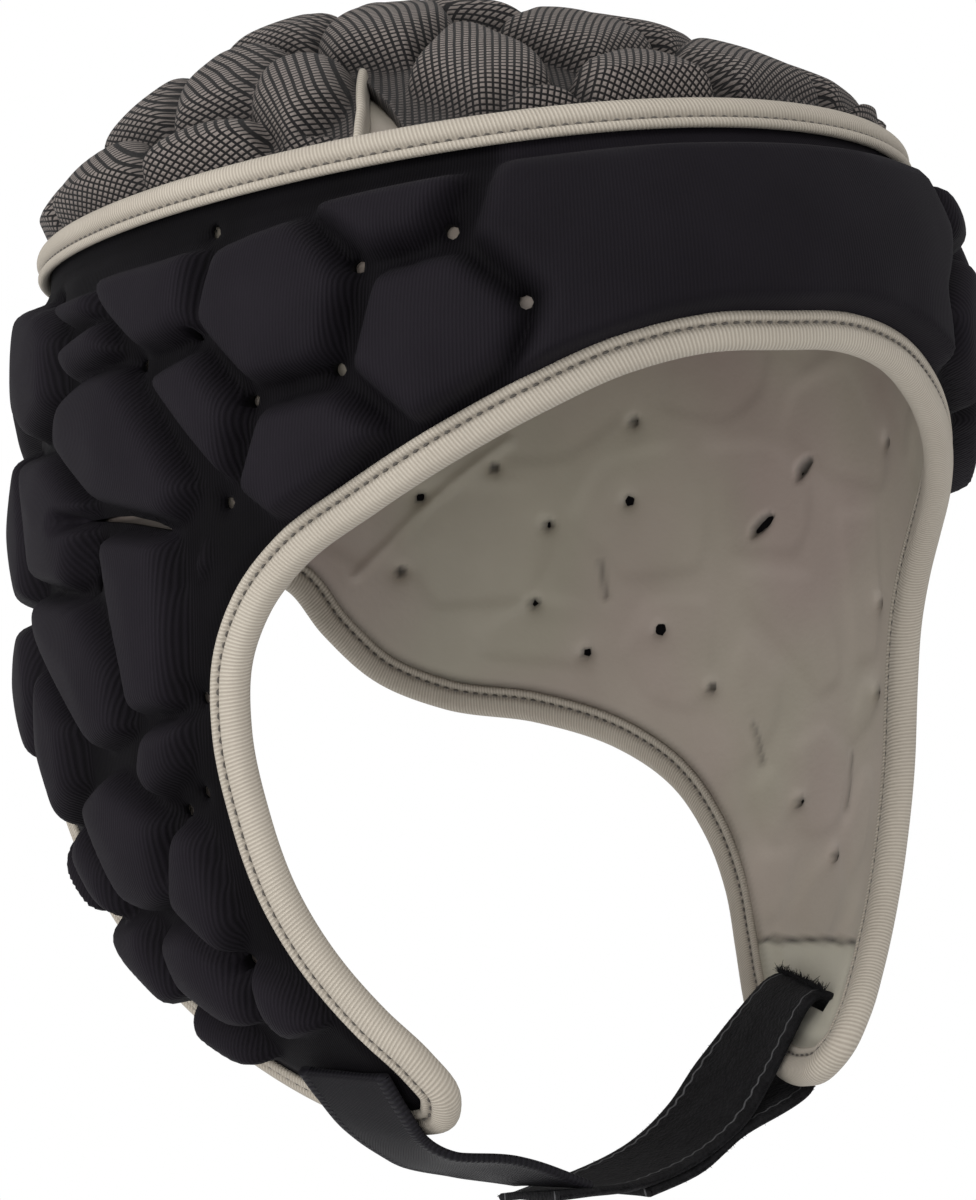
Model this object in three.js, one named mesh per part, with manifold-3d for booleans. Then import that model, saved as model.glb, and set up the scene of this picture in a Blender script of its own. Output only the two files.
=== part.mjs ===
import * as THREE from "three";
import { mergeVertices } from "three/addons/utils/BufferGeometryUtils.js";
import Module from "manifold-3d";

// A padded rugby scrum cap, in millimetres, +Z up, the face opening towards -Y.
// The origin is the top of the head under the crown, so every part lies below or around it.
// Angles run from the middle of the forehead (0) round to the middle of the back (180).
// The wearer's right side is -X. Both sides are alike except for the chin strap.

const headHalfWidth = 83;
const headHalfLength = 101;
const seamDepth = 36.5;
const seamFall = 17;
const shoulderHeight = 34;
const frontLean = 0.16;
const crownCentreBack = 20;
const crownFlatnessFront = 1.7;
const crownFlatnessBack = 2.8;
const widestDepth = 96;
const flapDepth = 214;
const flapTuck = 0.5;
const flapTuckForward = 0.08;
const flapTuckPower = 3.4;

const liningThickness = 1.5;
const layerGap = 0.3;
const foamThickness = 2.7;
const edgeThickness = 1.5;
const padHeight = 7.2;
const padRoot = 0.6;
const padShoulder = 0.85;
const padTopInset = 4;
const foreheadPadHeight = 3.6;
const foreheadPadAngle = 31;
const foreheadPadEdge = 5;

const bindingWidth = 5.2;
const bindingThickness = 1.1;
const edgeGap = 0.9;
const crownBindingWidth = 7.5;
const crownBindingHeight = 3.4;
const seamGap = 0.4;

const earSlitLength = 15;
const earSlitHeight = 3;

const strapWidth = 25;
const strapThickness = 1.6;
const strapGap = 0.5;
const slotLength = 31;
const slotHeight = 7.5;
const crownSlitLength = 36;
const crownSlitWidth = 9;

const sideSteps = 18;
const lowRowShares = [0.03, 0.42, 0.65, 0.84, 1];
const crownSteps = 20;

// The lower edge of the cap from the forehead to the back, as an angle and a share of flapDepth.
// It runs along the forehead, down the front of the ear flap, round its tip and up to the neck.
const edgeStations = [
  { angle: 0, down: 0.268 },
  { angle: 10, down: 0.27 },
  { angle: 20, down: 0.287 },
  { angle: 30, down: 0.32 },
  { angle: 40, down: 0.361 },
  { angle: 50, down: 0.409 },
  { angle: 59, down: 0.457 },
  { angle: 64, down: 0.5 },
  { angle: 67, down: 0.55 },
  { angle: 67.5, down: 0.612 },
  { angle: 66, down: 0.682 },
  { angle: 63.5, down: 0.757 },
  { angle: 60, down: 0.815 },
  { angle: 56, down: 0.86 },
  { angle: 52, down: 0.897 },
  { angle: 50.5, down: 0.925 },
  { angle: 52.5, down: 0.948 },
  { angle: 58, down: 0.962 },
  { angle: 66, down: 0.964 },
  { angle: 75, down: 0.95 },
  { angle: 83.5, down: 0.922 },
  { angle: 91, down: 0.883 },
  { angle: 98, down: 0.834 },
  { angle: 105, down: 0.785 },
  { angle: 113, down: 0.738 },
  { angle: 123, down: 0.703 },
  { angle: 136, down: 0.68 },
  { angle: 150, down: 0.668 },
  { angle: 160, down: 0.64 },
  { angle: 168, down: 0.59 },
  { angle: 174, down: 0.54 },
  { angle: 180, down: 0.522 },
];
const tipStation = 15;

// Each raised pad on the right side, as its corners in order: angle and share of flapDepth.
const bandPads = [
  { name: "temple_upper", corners: [[68, 0.2], [58, 0.178], [51, 0.222], [53, 0.285], [62, 0.304], [69.5, 0.257]] },
  { name: "temple_front", corners: [[47.5, 0.222], [39, 0.206], [31.5, 0.246], [34, 0.288], [43, 0.336], [50, 0.29]] },
  { name: "seam_long", corners: [[56, 0.166], [36.5, 0.142], [38.5, 0.19], [48.5, 0.202]] },
  { name: "cheek_front", corners: [[61, 0.33], [52, 0.313], [47, 0.345], [58.5, 0.425], [64, 0.397]] },
  { name: "temple_wedge", corners: [[77, 0.304], [70, 0.283], [64.5, 0.325], [66, 0.388]] },
  { name: "seam_side", corners: [[88, 0.222], [71.5, 0.2], [71, 0.262], [79, 0.28], [87, 0.24]] },
  { name: "side_small_upper", corners: [[100, 0.246], [89.5, 0.232], [89, 0.252], [95, 0.262]] },
  { name: "side_small_lower", corners: [[97, 0.285], [87.5, 0.258], [85, 0.282], [93, 0.31]] },
  { name: "back_upper_side", corners: [[118, 0.25], [104, 0.244], [99, 0.272], [100, 0.33], [107, 0.366], [118, 0.352]] },
  { name: "ear_upper", corners: [[89, 0.304], [83, 0.3], [77.5, 0.342], [71.5, 0.397], [73.5, 0.424], [87, 0.416], [97, 0.37], [96, 0.33]] },
  { name: "ear_back", corners: [[111, 0.388], [100, 0.38], [91, 0.42], [91.5, 0.468], [94, 0.497], [106, 0.497]] },
  { name: "ear_lower", corners: [[86, 0.448], [75, 0.44], [73.5, 0.53], [74.5, 0.59], [81, 0.6], [84, 0.52]] },
  { name: "ear_low_back", corners: [[105, 0.514], [91, 0.512], [85, 0.56], [83.5, 0.618], [89, 0.64], [94, 0.61], [104, 0.55]] },
  { name: "cheek_strip", corners: [[70, 0.44], [66.5, 0.425], [70.5, 0.47], [71.5, 0.56], [72, 0.56]] },
  { name: "flap_triangle", corners: [[73, 0.605], [74, 0.645], [78.5, 0.672], [80.5, 0.652], [79, 0.615]] },
  { name: "flap_back_upper", corners: [[104, 0.575], [96, 0.622], [96.5, 0.68], [102, 0.72], [106, 0.65]] },
  { name: "flap_upper", corners: [[87, 0.66], [78.5, 0.692], [79, 0.757], [83, 0.776], [88, 0.77], [93.5, 0.69]] },
  { name: "flap_back_lower", corners: [[96, 0.712], [91.5, 0.745], [90.5, 0.79], [95.5, 0.78], [100, 0.74]] },
  { name: "flap_middle", corners: [[76, 0.7], [74.5, 0.692], [72, 0.7], [70, 0.775], [72, 0.803], [78.5, 0.763]] },
  { name: "flap_lower_back", corners: [[83, 0.795], [77, 0.785], [73, 0.81], [71.5, 0.862], [76, 0.868], [83, 0.84]] },
  { name: "flap_lower_front", corners: [[69, 0.812], [65.5, 0.82], [62, 0.858], [67, 0.872], [69.5, 0.85]] },
  { name: "back_upper", corners: [[147, 0.3], [123, 0.27], [122, 0.352], [132, 0.41], [146, 0.41], [152, 0.36]] },
  { name: "back_middle_top", corners: [[177.5, 0.325], [154, 0.312], [157, 0.37], [161, 0.42], [177.5, 0.43]] },
  { name: "back_side", corners: [[127, 0.405], [116, 0.385], [110, 0.46], [111, 0.52], [124, 0.535], [132, 0.47]] },
  { name: "back_low", corners: [[155, 0.43], [138, 0.435], [134, 0.5], [138, 0.56], [152, 0.57], [158, 0.5]] },
  { name: "back_notch", corners: [[176, 0.45], [163, 0.45], [162, 0.53], [167, 0.53], [172, 0.49], [176, 0.475]] },
  { name: "neck_side", corners: [[120, 0.55], [110, 0.545], [108, 0.6], [111, 0.67], [119, 0.66], [124, 0.61]] },
  { name: "neck_low", corners: [[135, 0.55], [129, 0.56], [127, 0.63], [145, 0.622], [146, 0.59]] },
];

// Rings of pads on the crown, as shares of the way from the crown's centre to its seam.
const crownRings = [
  { count: 1, inner: 0, outer: 0.14, turn: 0 },
  { count: 6, inner: 0.21, outer: 0.44, turn: 30 },
  { count: 12, inner: 0.51, outer: 0.72, turn: 15 },
  { count: 18, inner: 0.785, outer: 0.93, turn: 10 },
];
const crownPadGap = 7;
const crownSlitAngle = 50;
const crownSlitMiddle = 0.8;

// The chin strap's middle line under the chin: shares of headHalfWidth across to the left,
// of headHalfLength forward and of flapDepth down, and the rise of its front edge over its rear one
// as a share of strapWidth.
const strapStations = [
  { across: -0.5, forward: 0.445, down: 1.006, rise: 0.24 },
  { across: -0.33, forward: 0.44, down: 1.022, rise: 0.3 },
  { across: -0.13, forward: 0.42, down: 1.048, rise: 0.2 },
  { across: 0.06, forward: 0.39, down: 1.056, rise: 0.1 },
  { across: 0.24, forward: 0.365, down: 1.04, rise: 0.05 },
  { across: 0.37, forward: 0.35, down: 1.012, rise: 0 },
  { across: 0.47, forward: 0.335, down: 0.973, rise: 0 },
];
const baseStrapEnd = 2;
const strapAngle = 63;
const slotAngle = 69;
const slotDown = 0.907;

const wasm = await Module();
wasm.setup();

const radians = Math.PI / 180;
const bandInner = liningThickness + layerGap;
const bandOuter = bandInner + foamThickness;
const edgeOuter = bandInner + edgeThickness;

function seamZ(angle) {
  return -seamDepth + seamFall * Math.cos(angle * radians);
}

// The head form under the band: a rounded oval that leans in above the shoulder height
// and draws in towards the flap tips below the widest depth.
function bandBase(angle, z) {
  const c = Math.cos(angle * radians);
  const s = Math.sin(angle * radians);
  const lean = frontLean * ((1 + c) / 2) ** 2;
  const near = Math.max(0, 1 - (seamZ(angle) - z) / shoulderHeight);
  const scale = 1 - lean * near * near;
  const low = Math.max(0, (-widestDepth - z) / (flapDepth - widestDepth)) ** flapTuckPower;
  return new THREE.Vector3(
    -headHalfWidth * scale * (1 - flapTuck * low) * s,
    -headHalfLength * scale * (1 - flapTuckForward * low) * c,
    z,
  );
}

function bandNormal(angle, z) {
  const across = bandBase(angle + 0.05, z).sub(bandBase(angle - 0.05, z));
  const along = bandBase(angle, z + 0.05).sub(bandBase(angle, z - 0.05));
  const normal = across.cross(along).normalize();
  const point = bandBase(angle, z);
  return normal.x * point.x + normal.y * point.y < 0 ? normal.negate() : normal;
}

function bandPoint(angle, z, offset) {
  return bandBase(angle, z).addScaledVector(bandNormal(angle, z), offset);
}

function crownBase(angle, share) {
  const rim = bandBase(angle, seamZ(angle));
  const flatness = (crownFlatnessFront + crownFlatnessBack) / 2
    - ((crownFlatnessBack - crownFlatnessFront) / 2) * Math.cos(angle * radians);
  return new THREE.Vector3(
    rim.x * share,
    crownCentreBack * (1 - share) + rim.y * share,
    seamZ(angle) * Math.max(share, 1e-6) ** flatness,
  );
}

function crownPoint(angle, share, offset) {
  const at = Math.min(Math.max(share, 0.02), 0.999);
  const across = crownBase(angle + 0.1, at).sub(crownBase(angle - 0.1, at));
  const along = crownBase(angle, at + 0.001).sub(crownBase(angle, at - 0.001));
  const normal = across.cross(along).normalize();
  if (normal.z < 0) normal.negate();
  if (share < 0.02) normal.set(0, 0, 1);
  return crownBase(angle, share).addScaledVector(normal, offset);
}

function toSolid(points, triangles) {
  let geometry = new THREE.BufferGeometry();
  geometry.setAttribute("position", new THREE.Float32BufferAttribute(points.flatMap((p) => [p.x, p.y, p.z]), 3));
  geometry.setIndex(triangles.flat());
  geometry = mergeVertices(geometry, 1e-4);
  const index = geometry.index.array;
  const kept = [];
  for (let i = 0; i < index.length; i += 3) {
    const [a, b, c] = [index[i], index[i + 1], index[i + 2]];
    if (a !== b && b !== c && c !== a) kept.push(a, b, c);
  }
  const mesh = new wasm.Mesh({
    numProp: 3,
    vertProperties: new Float32Array(geometry.attributes.position.array),
    triVerts: new Uint32Array(kept),
  });
  const solid = new wasm.Manifold(mesh);
  if (solid.volume() >= 0) return solid;
  for (let i = 0; i < kept.length; i += 3) [kept[i], kept[i + 1]] = [kept[i + 1], kept[i]];
  return new wasm.Manifold(new wasm.Mesh({
    numProp: 3,
    vertProperties: new Float32Array(geometry.attributes.position.array),
    triVerts: new Uint32Array(kept),
  }));
}

// A closed wall between two sheets of points with the same rows. A looped wall joins its last row
// to its first.
function wallSolid(inner, outer, looped) {
  const rows = inner.length;
  const columns = inner[0].length;
  const points = [...inner.flat(), ...outer.flat()];
  const half = rows * columns;
  const triangles = [];
  const quad = (a, b, c, d) => triangles.push([a, b, c], [a, c, d]);
  const last = looped ? rows : rows - 1;
  for (let i = 0; i < last; i++) {
    const j = (i + 1) % rows;
    for (let k = 0; k < columns - 1; k++) {
      quad(half + i * columns + k, half + j * columns + k, half + j * columns + k + 1, half + i * columns + k + 1);
      quad(i * columns + k, i * columns + k + 1, j * columns + k + 1, j * columns + k);
    }
    quad(i * columns, j * columns, half + j * columns, half + i * columns);
    const e = columns - 1;
    quad(half + i * columns + e, half + j * columns + e, j * columns + e, i * columns + e);
  }
  if (!looped) {
    for (let k = 0; k < columns - 1; k++) {
      quad(half + k, half + k + 1, k + 1, k);
      const r = (rows - 1) * columns;
      quad(r + k, r + k + 1, half + r + k + 1, half + r + k);
    }
  }
  return toSolid(points, triangles);
}

// A body through closed sections with equal numbers of points, with flat ends or looped.
function sweptSolid(sections, looped) {
  const n = sections[0].length;
  const points = sections.flat();
  const triangles = [];
  const last = looped ? sections.length : sections.length - 1;
  for (let i = 0; i < last; i++) {
    const j = (i + 1) % sections.length;
    for (let k = 0; k < n; k++) {
      const m = (k + 1) % n;
      triangles.push([i * n + k, j * n + k, j * n + m], [i * n + k, j * n + m, i * n + m]);
    }
  }
  if (!looped) {
    const end = (sections.length - 1) * n;
    for (let k = 1; k < n - 1; k++) {
      triangles.push([0, k, k + 1], [end, end + k + 1, end + k]);
    }
  }
  return toSolid(points, triangles);
}

// The cuts leave crumbs along an edge: this keeps the body itself.
function mainBody(solid) {
  return solid.decompose().reduce((best, piece) => (piece.volume() > best.volume() ? piece : best));
}

// A pad: a flat root inside the foam, a sloping side and a domed top.
function padSolid(corners, place, size, root, height) {
  const middle = corners.reduce((sum, c) => [sum[0] + c[0] / corners.length, sum[1] + c[1] / corners.length], [0, 0]);
  const inset = (share) => corners.map((c) => [middle[0] + (c[0] - middle[0]) * share, middle[1] + (c[1] - middle[1]) * share]);
  const ring = (share, offset) => inset(share).map((c) => place(c[0], c[1], offset));
  const top = Math.max(0.3, 1 - padTopInset / size);
  const rings = [
    ring(1, root),
    ring(top, root + padRoot + height * padShoulder),
  ];
  const n = corners.length;
  const points = [...rings.flat(), place(middle[0], middle[1], root), place(middle[0], middle[1], root + padRoot + height)];
  const triangles = [];
  for (let k = 0; k < n; k++) {
    const m = (k + 1) % n;
    triangles.push([k, m, n + m], [k, n + m, n + k]);
    triangles.push([m, k, 2 * n], [n + k, n + m, 2 * n + 1]);
  }
  return toSolid(points, triangles);
}

function padSize(corners, place) {
  const points = corners.map((c) => place(c[0], c[1], bandOuter));
  const middle = points.reduce((sum, p) => sum.add(p.clone().divideScalar(points.length)), new THREE.Vector3());
  return points.reduce((sum, p) => sum + p.distanceTo(middle) / points.length, 0);
}

// Angles for the right side from front to back, then the left side from back to front.
function roundTrip(list, mirror) {
  return [...list, ...list.slice(1, -1).reverse().map(mirror)];
}

const sideAngles = [];
for (let i = 0; i <= sideSteps; i++) sideAngles.push((180 * i) / sideSteps);
const ringAngles = roundTrip(sideAngles, (angle) => -angle);

function foreheadRise(angle, z) {
  const side = THREE.MathUtils.smoothstep(foreheadPadAngle + foreheadPadEdge - Math.abs(angle), 0, foreheadPadEdge);
  return foreheadPadHeight * side;
}

// The band's rows below the seam: a thin strip for the binding, a step up, the shoulder,
// then rows that stand closer where the flaps draw in.
function bandRows(angle) {
  const seam = seamZ(angle);
  const strip = seam - seamGap / 2 - crownBindingWidth / 2 - 1;
  const rows = [[seam - seamGap / 2, 0], [strip, 0], [strip - 4, 1]];
  rows.push([seam - 0.6 * shoulderHeight, 1], [seam - shoulderHeight, 1]);
  const low = flapDepth - widestDepth;
  for (const share of lowRowShares) rows.push([-widestDepth - low * share, 1]);
  return rows;
}

function bandWall(innerOffset, outerOffset, thinOffset, rise) {
  const inner = ringAngles.map((angle) => bandRows(angle).map(([z]) => bandPoint(angle, z, innerOffset)));
  const outer = ringAngles.map((angle) => bandRows(angle).map(([z, full]) => {
    const offset = full ? outerOffset + (rise ? foreheadRise(angle, z) : 0) : thinOffset;
    return bandPoint(angle, z, offset);
  }));
  return wallSolid(inner, outer, true);
}

function shortTurn(before, after) {
  const turn = after.angle - before.angle;
  return turn < -180 ? turn + 360 : turn;
}

const edge = roundTrip(
  edgeStations.map((s) => ({ angle: s.angle, z: -flapDepth * s.down })),
  (s) => ({ angle: -s.angle, z: s.z }),
);

// Just past each point of the lower edge: the way out of the surface and off the edge.
const edgeShift = 0.1;
const edgeFrames = edge.map((before, i) => {
  const after = edge[(i + 1) % edge.length];
  const at = {
    angle: before.angle + shortTurn(before, after) * edgeShift,
    z: before.z + (after.z - before.z) * edgeShift,
  };
  const point = bandPoint(at.angle, at.z, 0);
  const out = bandNormal(at.angle, at.z);
  const along = bandPoint(after.angle, after.z, 0).sub(bandPoint(before.angle, before.z, 0)).normalize();
  const off = along.clone().cross(out).normalize();
  return { point, out, off };
});
if (edgeFrames[0].off.z > 0) edgeFrames.forEach((f) => f.off.negate());

function edgeSection(profile) {
  return edgeFrames.map(({ point, out, off }) => profile.map(([height, reach]) =>
    point.clone().addScaledVector(out, height).addScaledVector(off, reach)));
}

// The space below the cap: the face opening as a fan round its middle, and a skirt from the
// flap tips to the back.
const cutInside = -7;
const cutOutside = bandOuter + padHeight + 5;
const skirtShares = [0, 0.25, 0.5, 0.75, 1];
const cutDepth = 1.25 * flapDepth;
const faceLoop = [];
const right = edge.slice(0, tipStation + 1);
for (const at of right) faceLoop.push(at);
faceLoop.push({ angle: right[tipStation].angle - 1, z: -cutDepth });
faceLoop.push({ angle: 0, z: -cutDepth });
faceLoop.push({ angle: 1 - right[tipStation].angle, z: -cutDepth });
for (const at of right.slice(1).reverse()) faceLoop.push({ angle: -at.angle, z: at.z });
const faceMiddle = { angle: 0, z: -0.7 * flapDepth };
const fanShares = [0, 0.3, 0.65, 1];
// Below the flap tips the cutting sheets drop straight down.
function cutPoint(angle, z, offset) {
  const held = Math.max(z, -flapDepth);
  return bandPoint(angle, held, offset).add(new THREE.Vector3(0, 0, z - held));
}
const fanSheet = (offset) => faceLoop.map((at) => fanShares.map((t) => cutPoint(
  faceMiddle.angle + (at.angle - faceMiddle.angle) * t,
  faceMiddle.z + (at.z - faceMiddle.z) * t,
  offset,
)));
const faceCutter = wallSolid(fanSheet(cutInside), fanSheet(cutOutside), true);
const skirtLoop = edge.slice(tipStation, edge.length - tipStation + 1);
const skirtSheet = (offset) => skirtLoop.map((at) => [
  ...skirtShares.map((t) => cutPoint(at.angle, at.z + (-flapDepth - at.z) * t, offset)),
  cutPoint(at.angle, -cutDepth, offset),
]);
const skirtCutter = wallSolid(skirtSheet(cutInside), skirtSheet(cutOutside), false);

const thinReach = bindingWidth + layerGap;
const thinOutside = sweptSolid(edgeSection([
  [edgeOuter, -thinReach],
  [edgeOuter + 12, -thinReach],
  [edgeOuter + 12, 3],
  [edgeOuter, 3],
  [edgeOuter, edgeGap],
]), true);
const thinInside = sweptSolid(edgeSection([
  [layerGap, -thinReach],
  [layerGap, edgeGap],
  [layerGap, 3],
  [-4, 3],
  [-4, -thinReach],
]), true);

function boxOnBand(angle, z, length, height, inside, outside) {
  const point = bandPoint(angle, z, 0);
  const out = bandNormal(angle, z);
  const level = new THREE.Vector3(0, 0, 1).cross(out).normalize();
  const up = out.clone().cross(level).normalize();
  const face = (offset) => [[-1, -1], [1, -1], [1, 1], [-1, 1]].map(([a, b]) => point.clone()
    .addScaledVector(out, offset)
    .addScaledVector(level, (a * length) / 2)
    .addScaledVector(up, (b * height) / 2));
  return sweptSolid([face(inside), face(outside)], false);
}

const earSlits = [1, -1].map((side) => boxOnBand(side * 81, -0.428 * flapDepth, earSlitLength, earSlitHeight, -8, 25));
const strapSlot = boxOnBand(-slotAngle, -slotDown * flapDepth, slotLength, slotHeight, -14, 20);

let band = bandWall(bandInner, bandOuter, edgeOuter, true);
const cutBand = (solid) => solid.subtract(faceCutter).subtract(skirtCutter)
  .subtract(earSlits[0]).subtract(earSlits[1]).subtract(strapSlot);
const pads = [];
for (const pad of bandPads) {
  for (const side of [1, -1]) {
    const place = (angle, down, offset) => bandPoint(side * angle, -flapDepth * down, offset);
    const under = bandOuter - padRoot;
    pads.push(padSolid(pad.corners, place, padSize(pad.corners, place), under, padHeight));
  }
}
band = pads.reduce((sum, pad) => sum.add(pad), band);
band = mainBody(cutBand(band).subtract(thinOutside));
const liningWall = bandWall(0, liningThickness, liningThickness, false);
const lining = mainBody(cutBand(liningWall).subtract(thinInside));

// The crown: a padded shell and its lining, both ending just short of the seam.
const crownAngles = [];
for (let i = 0; i < crownSteps; i++) crownAngles.push((360 * i) / crownSteps);
const crownReach = (angle) => crownBase(angle, 1).distanceTo(crownBase(angle, 0));
function crownRows(angle) {
  const reach = crownReach(angle);
  const end = 1 - seamGap / 2 / reach;
  const strip = end - (crownBindingWidth / 2 + 1) / reach;
  const full = strip - 4 / reach;
  return [[0, 1], [full * 0.3, 1], [full * 0.58, 1], [full * 0.82, 1], [full, 1], [strip, 0], [end, 0]];
}
function crownWall(innerOffset, outerOffset, thinOffset) {
  const inner = crownAngles.map((angle) => crownRows(angle).map(([share]) => crownPoint(angle, share, innerOffset)));
  const outer = crownAngles.map((angle) => crownRows(angle).map(([share, full]) =>
    crownPoint(angle, share, full ? outerOffset : thinOffset)));
  return wallSolid(inner, outer, true);
}
let crown = crownWall(bandInner, bandOuter, edgeOuter);
const crownLining = crownWall(0, liningThickness, liningThickness);
for (const ring of crownRings) {
  for (let i = 0; i < ring.count; i++) {
    const middle = ring.turn + (360 * i) / ring.count;
    const halfAt = (share) => {
      const radius = share * ((headHalfWidth + headHalfLength) / 2);
      return 180 / ring.count - (crownPadGap / 2 / Math.max(radius, 1)) / radians;
    };
    const inner = Math.max(ring.inner, 0.01);
    const between = (inner + ring.outer) / 2;
    const corners = ring.count === 1
      ? [0, 60, 120, 180, 240, 300].map((a) => [a, ring.outer])
      : [
        [middle - halfAt(inner) * 0.75, inner],
        [middle - halfAt(between), between],
        [middle - halfAt(ring.outer) * 0.8, ring.outer],
        [middle + halfAt(ring.outer) * 0.8, ring.outer],
        [middle + halfAt(between), between],
        [middle + halfAt(inner) * 0.75, inner],
      ];
    const flat = corners.map(([angle, share]) => [share * Math.cos(angle * radians), share * Math.sin(angle * radians)]);
    const place = (x, y, offset) => crownPoint(Math.atan2(y, x) / radians, Math.hypot(x, y), offset);
    crown = crown.add(padSolid(flat, place, padSize(flat, place), bandOuter - padRoot, padHeight));
  }
}
const slitReach = crownSlitLength / 2 / crownReach(crownSlitAngle);
const slitHalfAngle = (crownSlitWidth / 2 / (crownSlitMiddle * crownReach(crownSlitAngle))) / radians;
const slitCorners = [
  [crownSlitAngle, crownSlitMiddle - slitReach],
  [crownSlitAngle + slitHalfAngle, crownSlitMiddle],
  [crownSlitAngle, crownSlitMiddle + slitReach * 0.8],
  [crownSlitAngle - slitHalfAngle, crownSlitMiddle],
];
const slitCutter = sweptSolid([bandInner - layerGap / 2, bandOuter + padHeight + 6].map((offset) =>
  slitCorners.map(([angle, share]) => crownPoint(angle, share, offset))), false);
crown = mainBody(crown.subtract(slitCutter));

// The crown binding: a rounded tape along the seam, lying over both thin edges.
const seamFrames = [];
for (let i = 0; i < 2 * sideSteps; i++) {
  const angle = (180 * i) / sideSteps;
  const point = bandBase(angle, seamZ(angle));
  const below = bandPoint(angle, seamZ(angle) - crownBindingWidth / 2, 0);
  const above = crownBase(angle, 1 - crownBindingWidth / 2 / crownReach(angle));
  const across = below.sub(above).normalize();
  const along = bandBase(angle + 1, seamZ(angle + 1)).sub(bandBase(angle - 1, seamZ(angle - 1))).normalize();
  const out = along.cross(across).normalize();
  if (out.x * point.x + out.y * point.y + out.z * 40 < 0) out.negate();
  seamFrames.push({ point, out, across });
}
const tapeLow = edgeOuter + layerGap + 0.5;
const tapeProfile = [
  [tapeLow, -0.5],
  [tapeLow + crownBindingHeight * 0.6, -0.5],
  [tapeLow + crownBindingHeight, -0.22],
  [tapeLow + crownBindingHeight, 0.22],
  [tapeLow + crownBindingHeight * 0.6, 0.5],
  [tapeLow, 0.5],
];
const crownBinding = sweptSolid(seamFrames.map(({ point, out, across }) => tapeProfile.map(([height, side]) =>
  point.clone().addScaledVector(out, height).addScaledVector(across, side * crownBindingWidth))), true);

// The edge binding: one tape folded round the whole lower edge.
const outerFace = edgeOuter + layerGap;
const edgeBinding = sweptSolid(edgeSection([
  [outerFace, -bindingWidth],
  [outerFace + bindingThickness, -bindingWidth],
  [outerFace + bindingThickness, edgeGap + 0.4],
  [outerFace / 2 + 0.3, edgeGap + bindingThickness],
  [-bindingThickness, edgeGap + 0.4],
  [-bindingThickness, -bindingWidth],
  [0, -bindingWidth],
  [0, edgeGap],
  [outerFace, edgeGap],
]), true);

// The strap: a thin band through middle points, each with its width direction.
function strapSections(stations, thickness) {
  return stations.map(({ point, side, face, width }) => [[-1, -1], [1, -1], [1, 1], [-1, 1]].map(([a, b]) => point.clone()
    .addScaledVector(side, (a * (width ?? strapWidth)) / 2)
    .addScaledVector(face, (b * thickness) / 2)));
}
function withFaces(stations) {
  return stations.map((at, i) => {
    const before = stations[Math.max(i - 1, 0)].point;
    const after = stations[Math.min(i + 1, stations.length - 1)].point;
    const along = after.clone().sub(before).normalize();
    const side = at.side.clone().addScaledVector(along, -at.side.dot(along)).normalize();
    const face = side.clone().cross(along).normalize();
    return { ...at, side, face };
  });
}
const freePoints = strapStations.map((s) => ({
  point: new THREE.Vector3(s.across * headHalfWidth, -s.forward * headHalfLength, -s.down * flapDepth),
  side: new THREE.Vector3(0, -1, s.rise).normalize(),
}));
const flapBinding = outerFace + bindingThickness;
const onRightFlap = [0.904, 0.93, 0.962].map((down) => {
  const z = -flapDepth * down;
  const ahead = bandBase(strapAngle - 4, z).sub(bandBase(strapAngle + 4, z)).normalize();
  return { point: bandPoint(strapAngle, z, flapBinding + strapGap + strapThickness / 2), side: ahead };
});
const baseStations = withFaces([...onRightFlap, ...freePoints.slice(0, baseStrapEnd + 1)]);
const strapBase = sweptSolid(strapSections(baseStations, strapThickness), false);

const slotPoint = (offset, rise) => ({
  point: bandPoint(-slotAngle, -slotDown * flapDepth, offset).add(new THREE.Vector3(0, 0, rise)),
  side: bandBase(4 - slotAngle, -slotDown * flapDepth).sub(bandBase(-slotAngle - 4, -slotDown * flapDepth)).normalize(),
});
const slotLift = slotHeight / 2 - strapThickness - 1;
const under = strapThickness + strapGap;
const drop = (at, distance) => ({ point: at.point.clone().addScaledVector(at.face, distance), side: at.side });
const facedFree = withFaces(freePoints);
const downFace = facedFree[3].face.z < 0 ? 1 : -1;
const start = drop(facedFree[baseStrapEnd], downFace * under);
start.point.x -= 0.06 * headHalfWidth;
const outsidePoint = (down) => ({
  point: bandPoint(-slotAngle, -down * flapDepth, flapBinding + strapGap + strapThickness / 2 + 0.4),
  side: slotPoint(0, 0).side,
});
const returning = [5, 4, 3].map((i) => drop(facedFree[i], downFace * under));
const strapLine = [
  start,
  drop(facedFree[baseStrapEnd], downFace * under),
  ...[3, 4, 5].map((i) => drop(facedFree[i], 0)),
  facedFree[6],
  slotPoint(-5, slotLift - 3),
  slotPoint(-1, slotLift),
  slotPoint(bandOuter, slotLift),
  outsidePoint(slotDown),
  outsidePoint(slotDown + 0.022),
  outsidePoint(slotDown + 0.045),
  outsidePoint(slotDown + 0.062),
  ...returning,
];
const chinStrap = sweptSolid(strapSections(withFaces(strapLine), strapThickness), false);

const palette = {
  cloth: { color: 0x26242a, roughness: 0.85, metalness: 0 },
  tape: { color: 0xc8c3b6, roughness: 0.8, metalness: 0 },
  foam: { color: 0x877f75, roughness: 0.75, metalness: 0 },
  net: { color: 0x4b4742, roughness: 0.85, metalness: 0 },
  strap: { color: 0x1c1b1e, roughness: 0.8, metalness: 0 },
};

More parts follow.
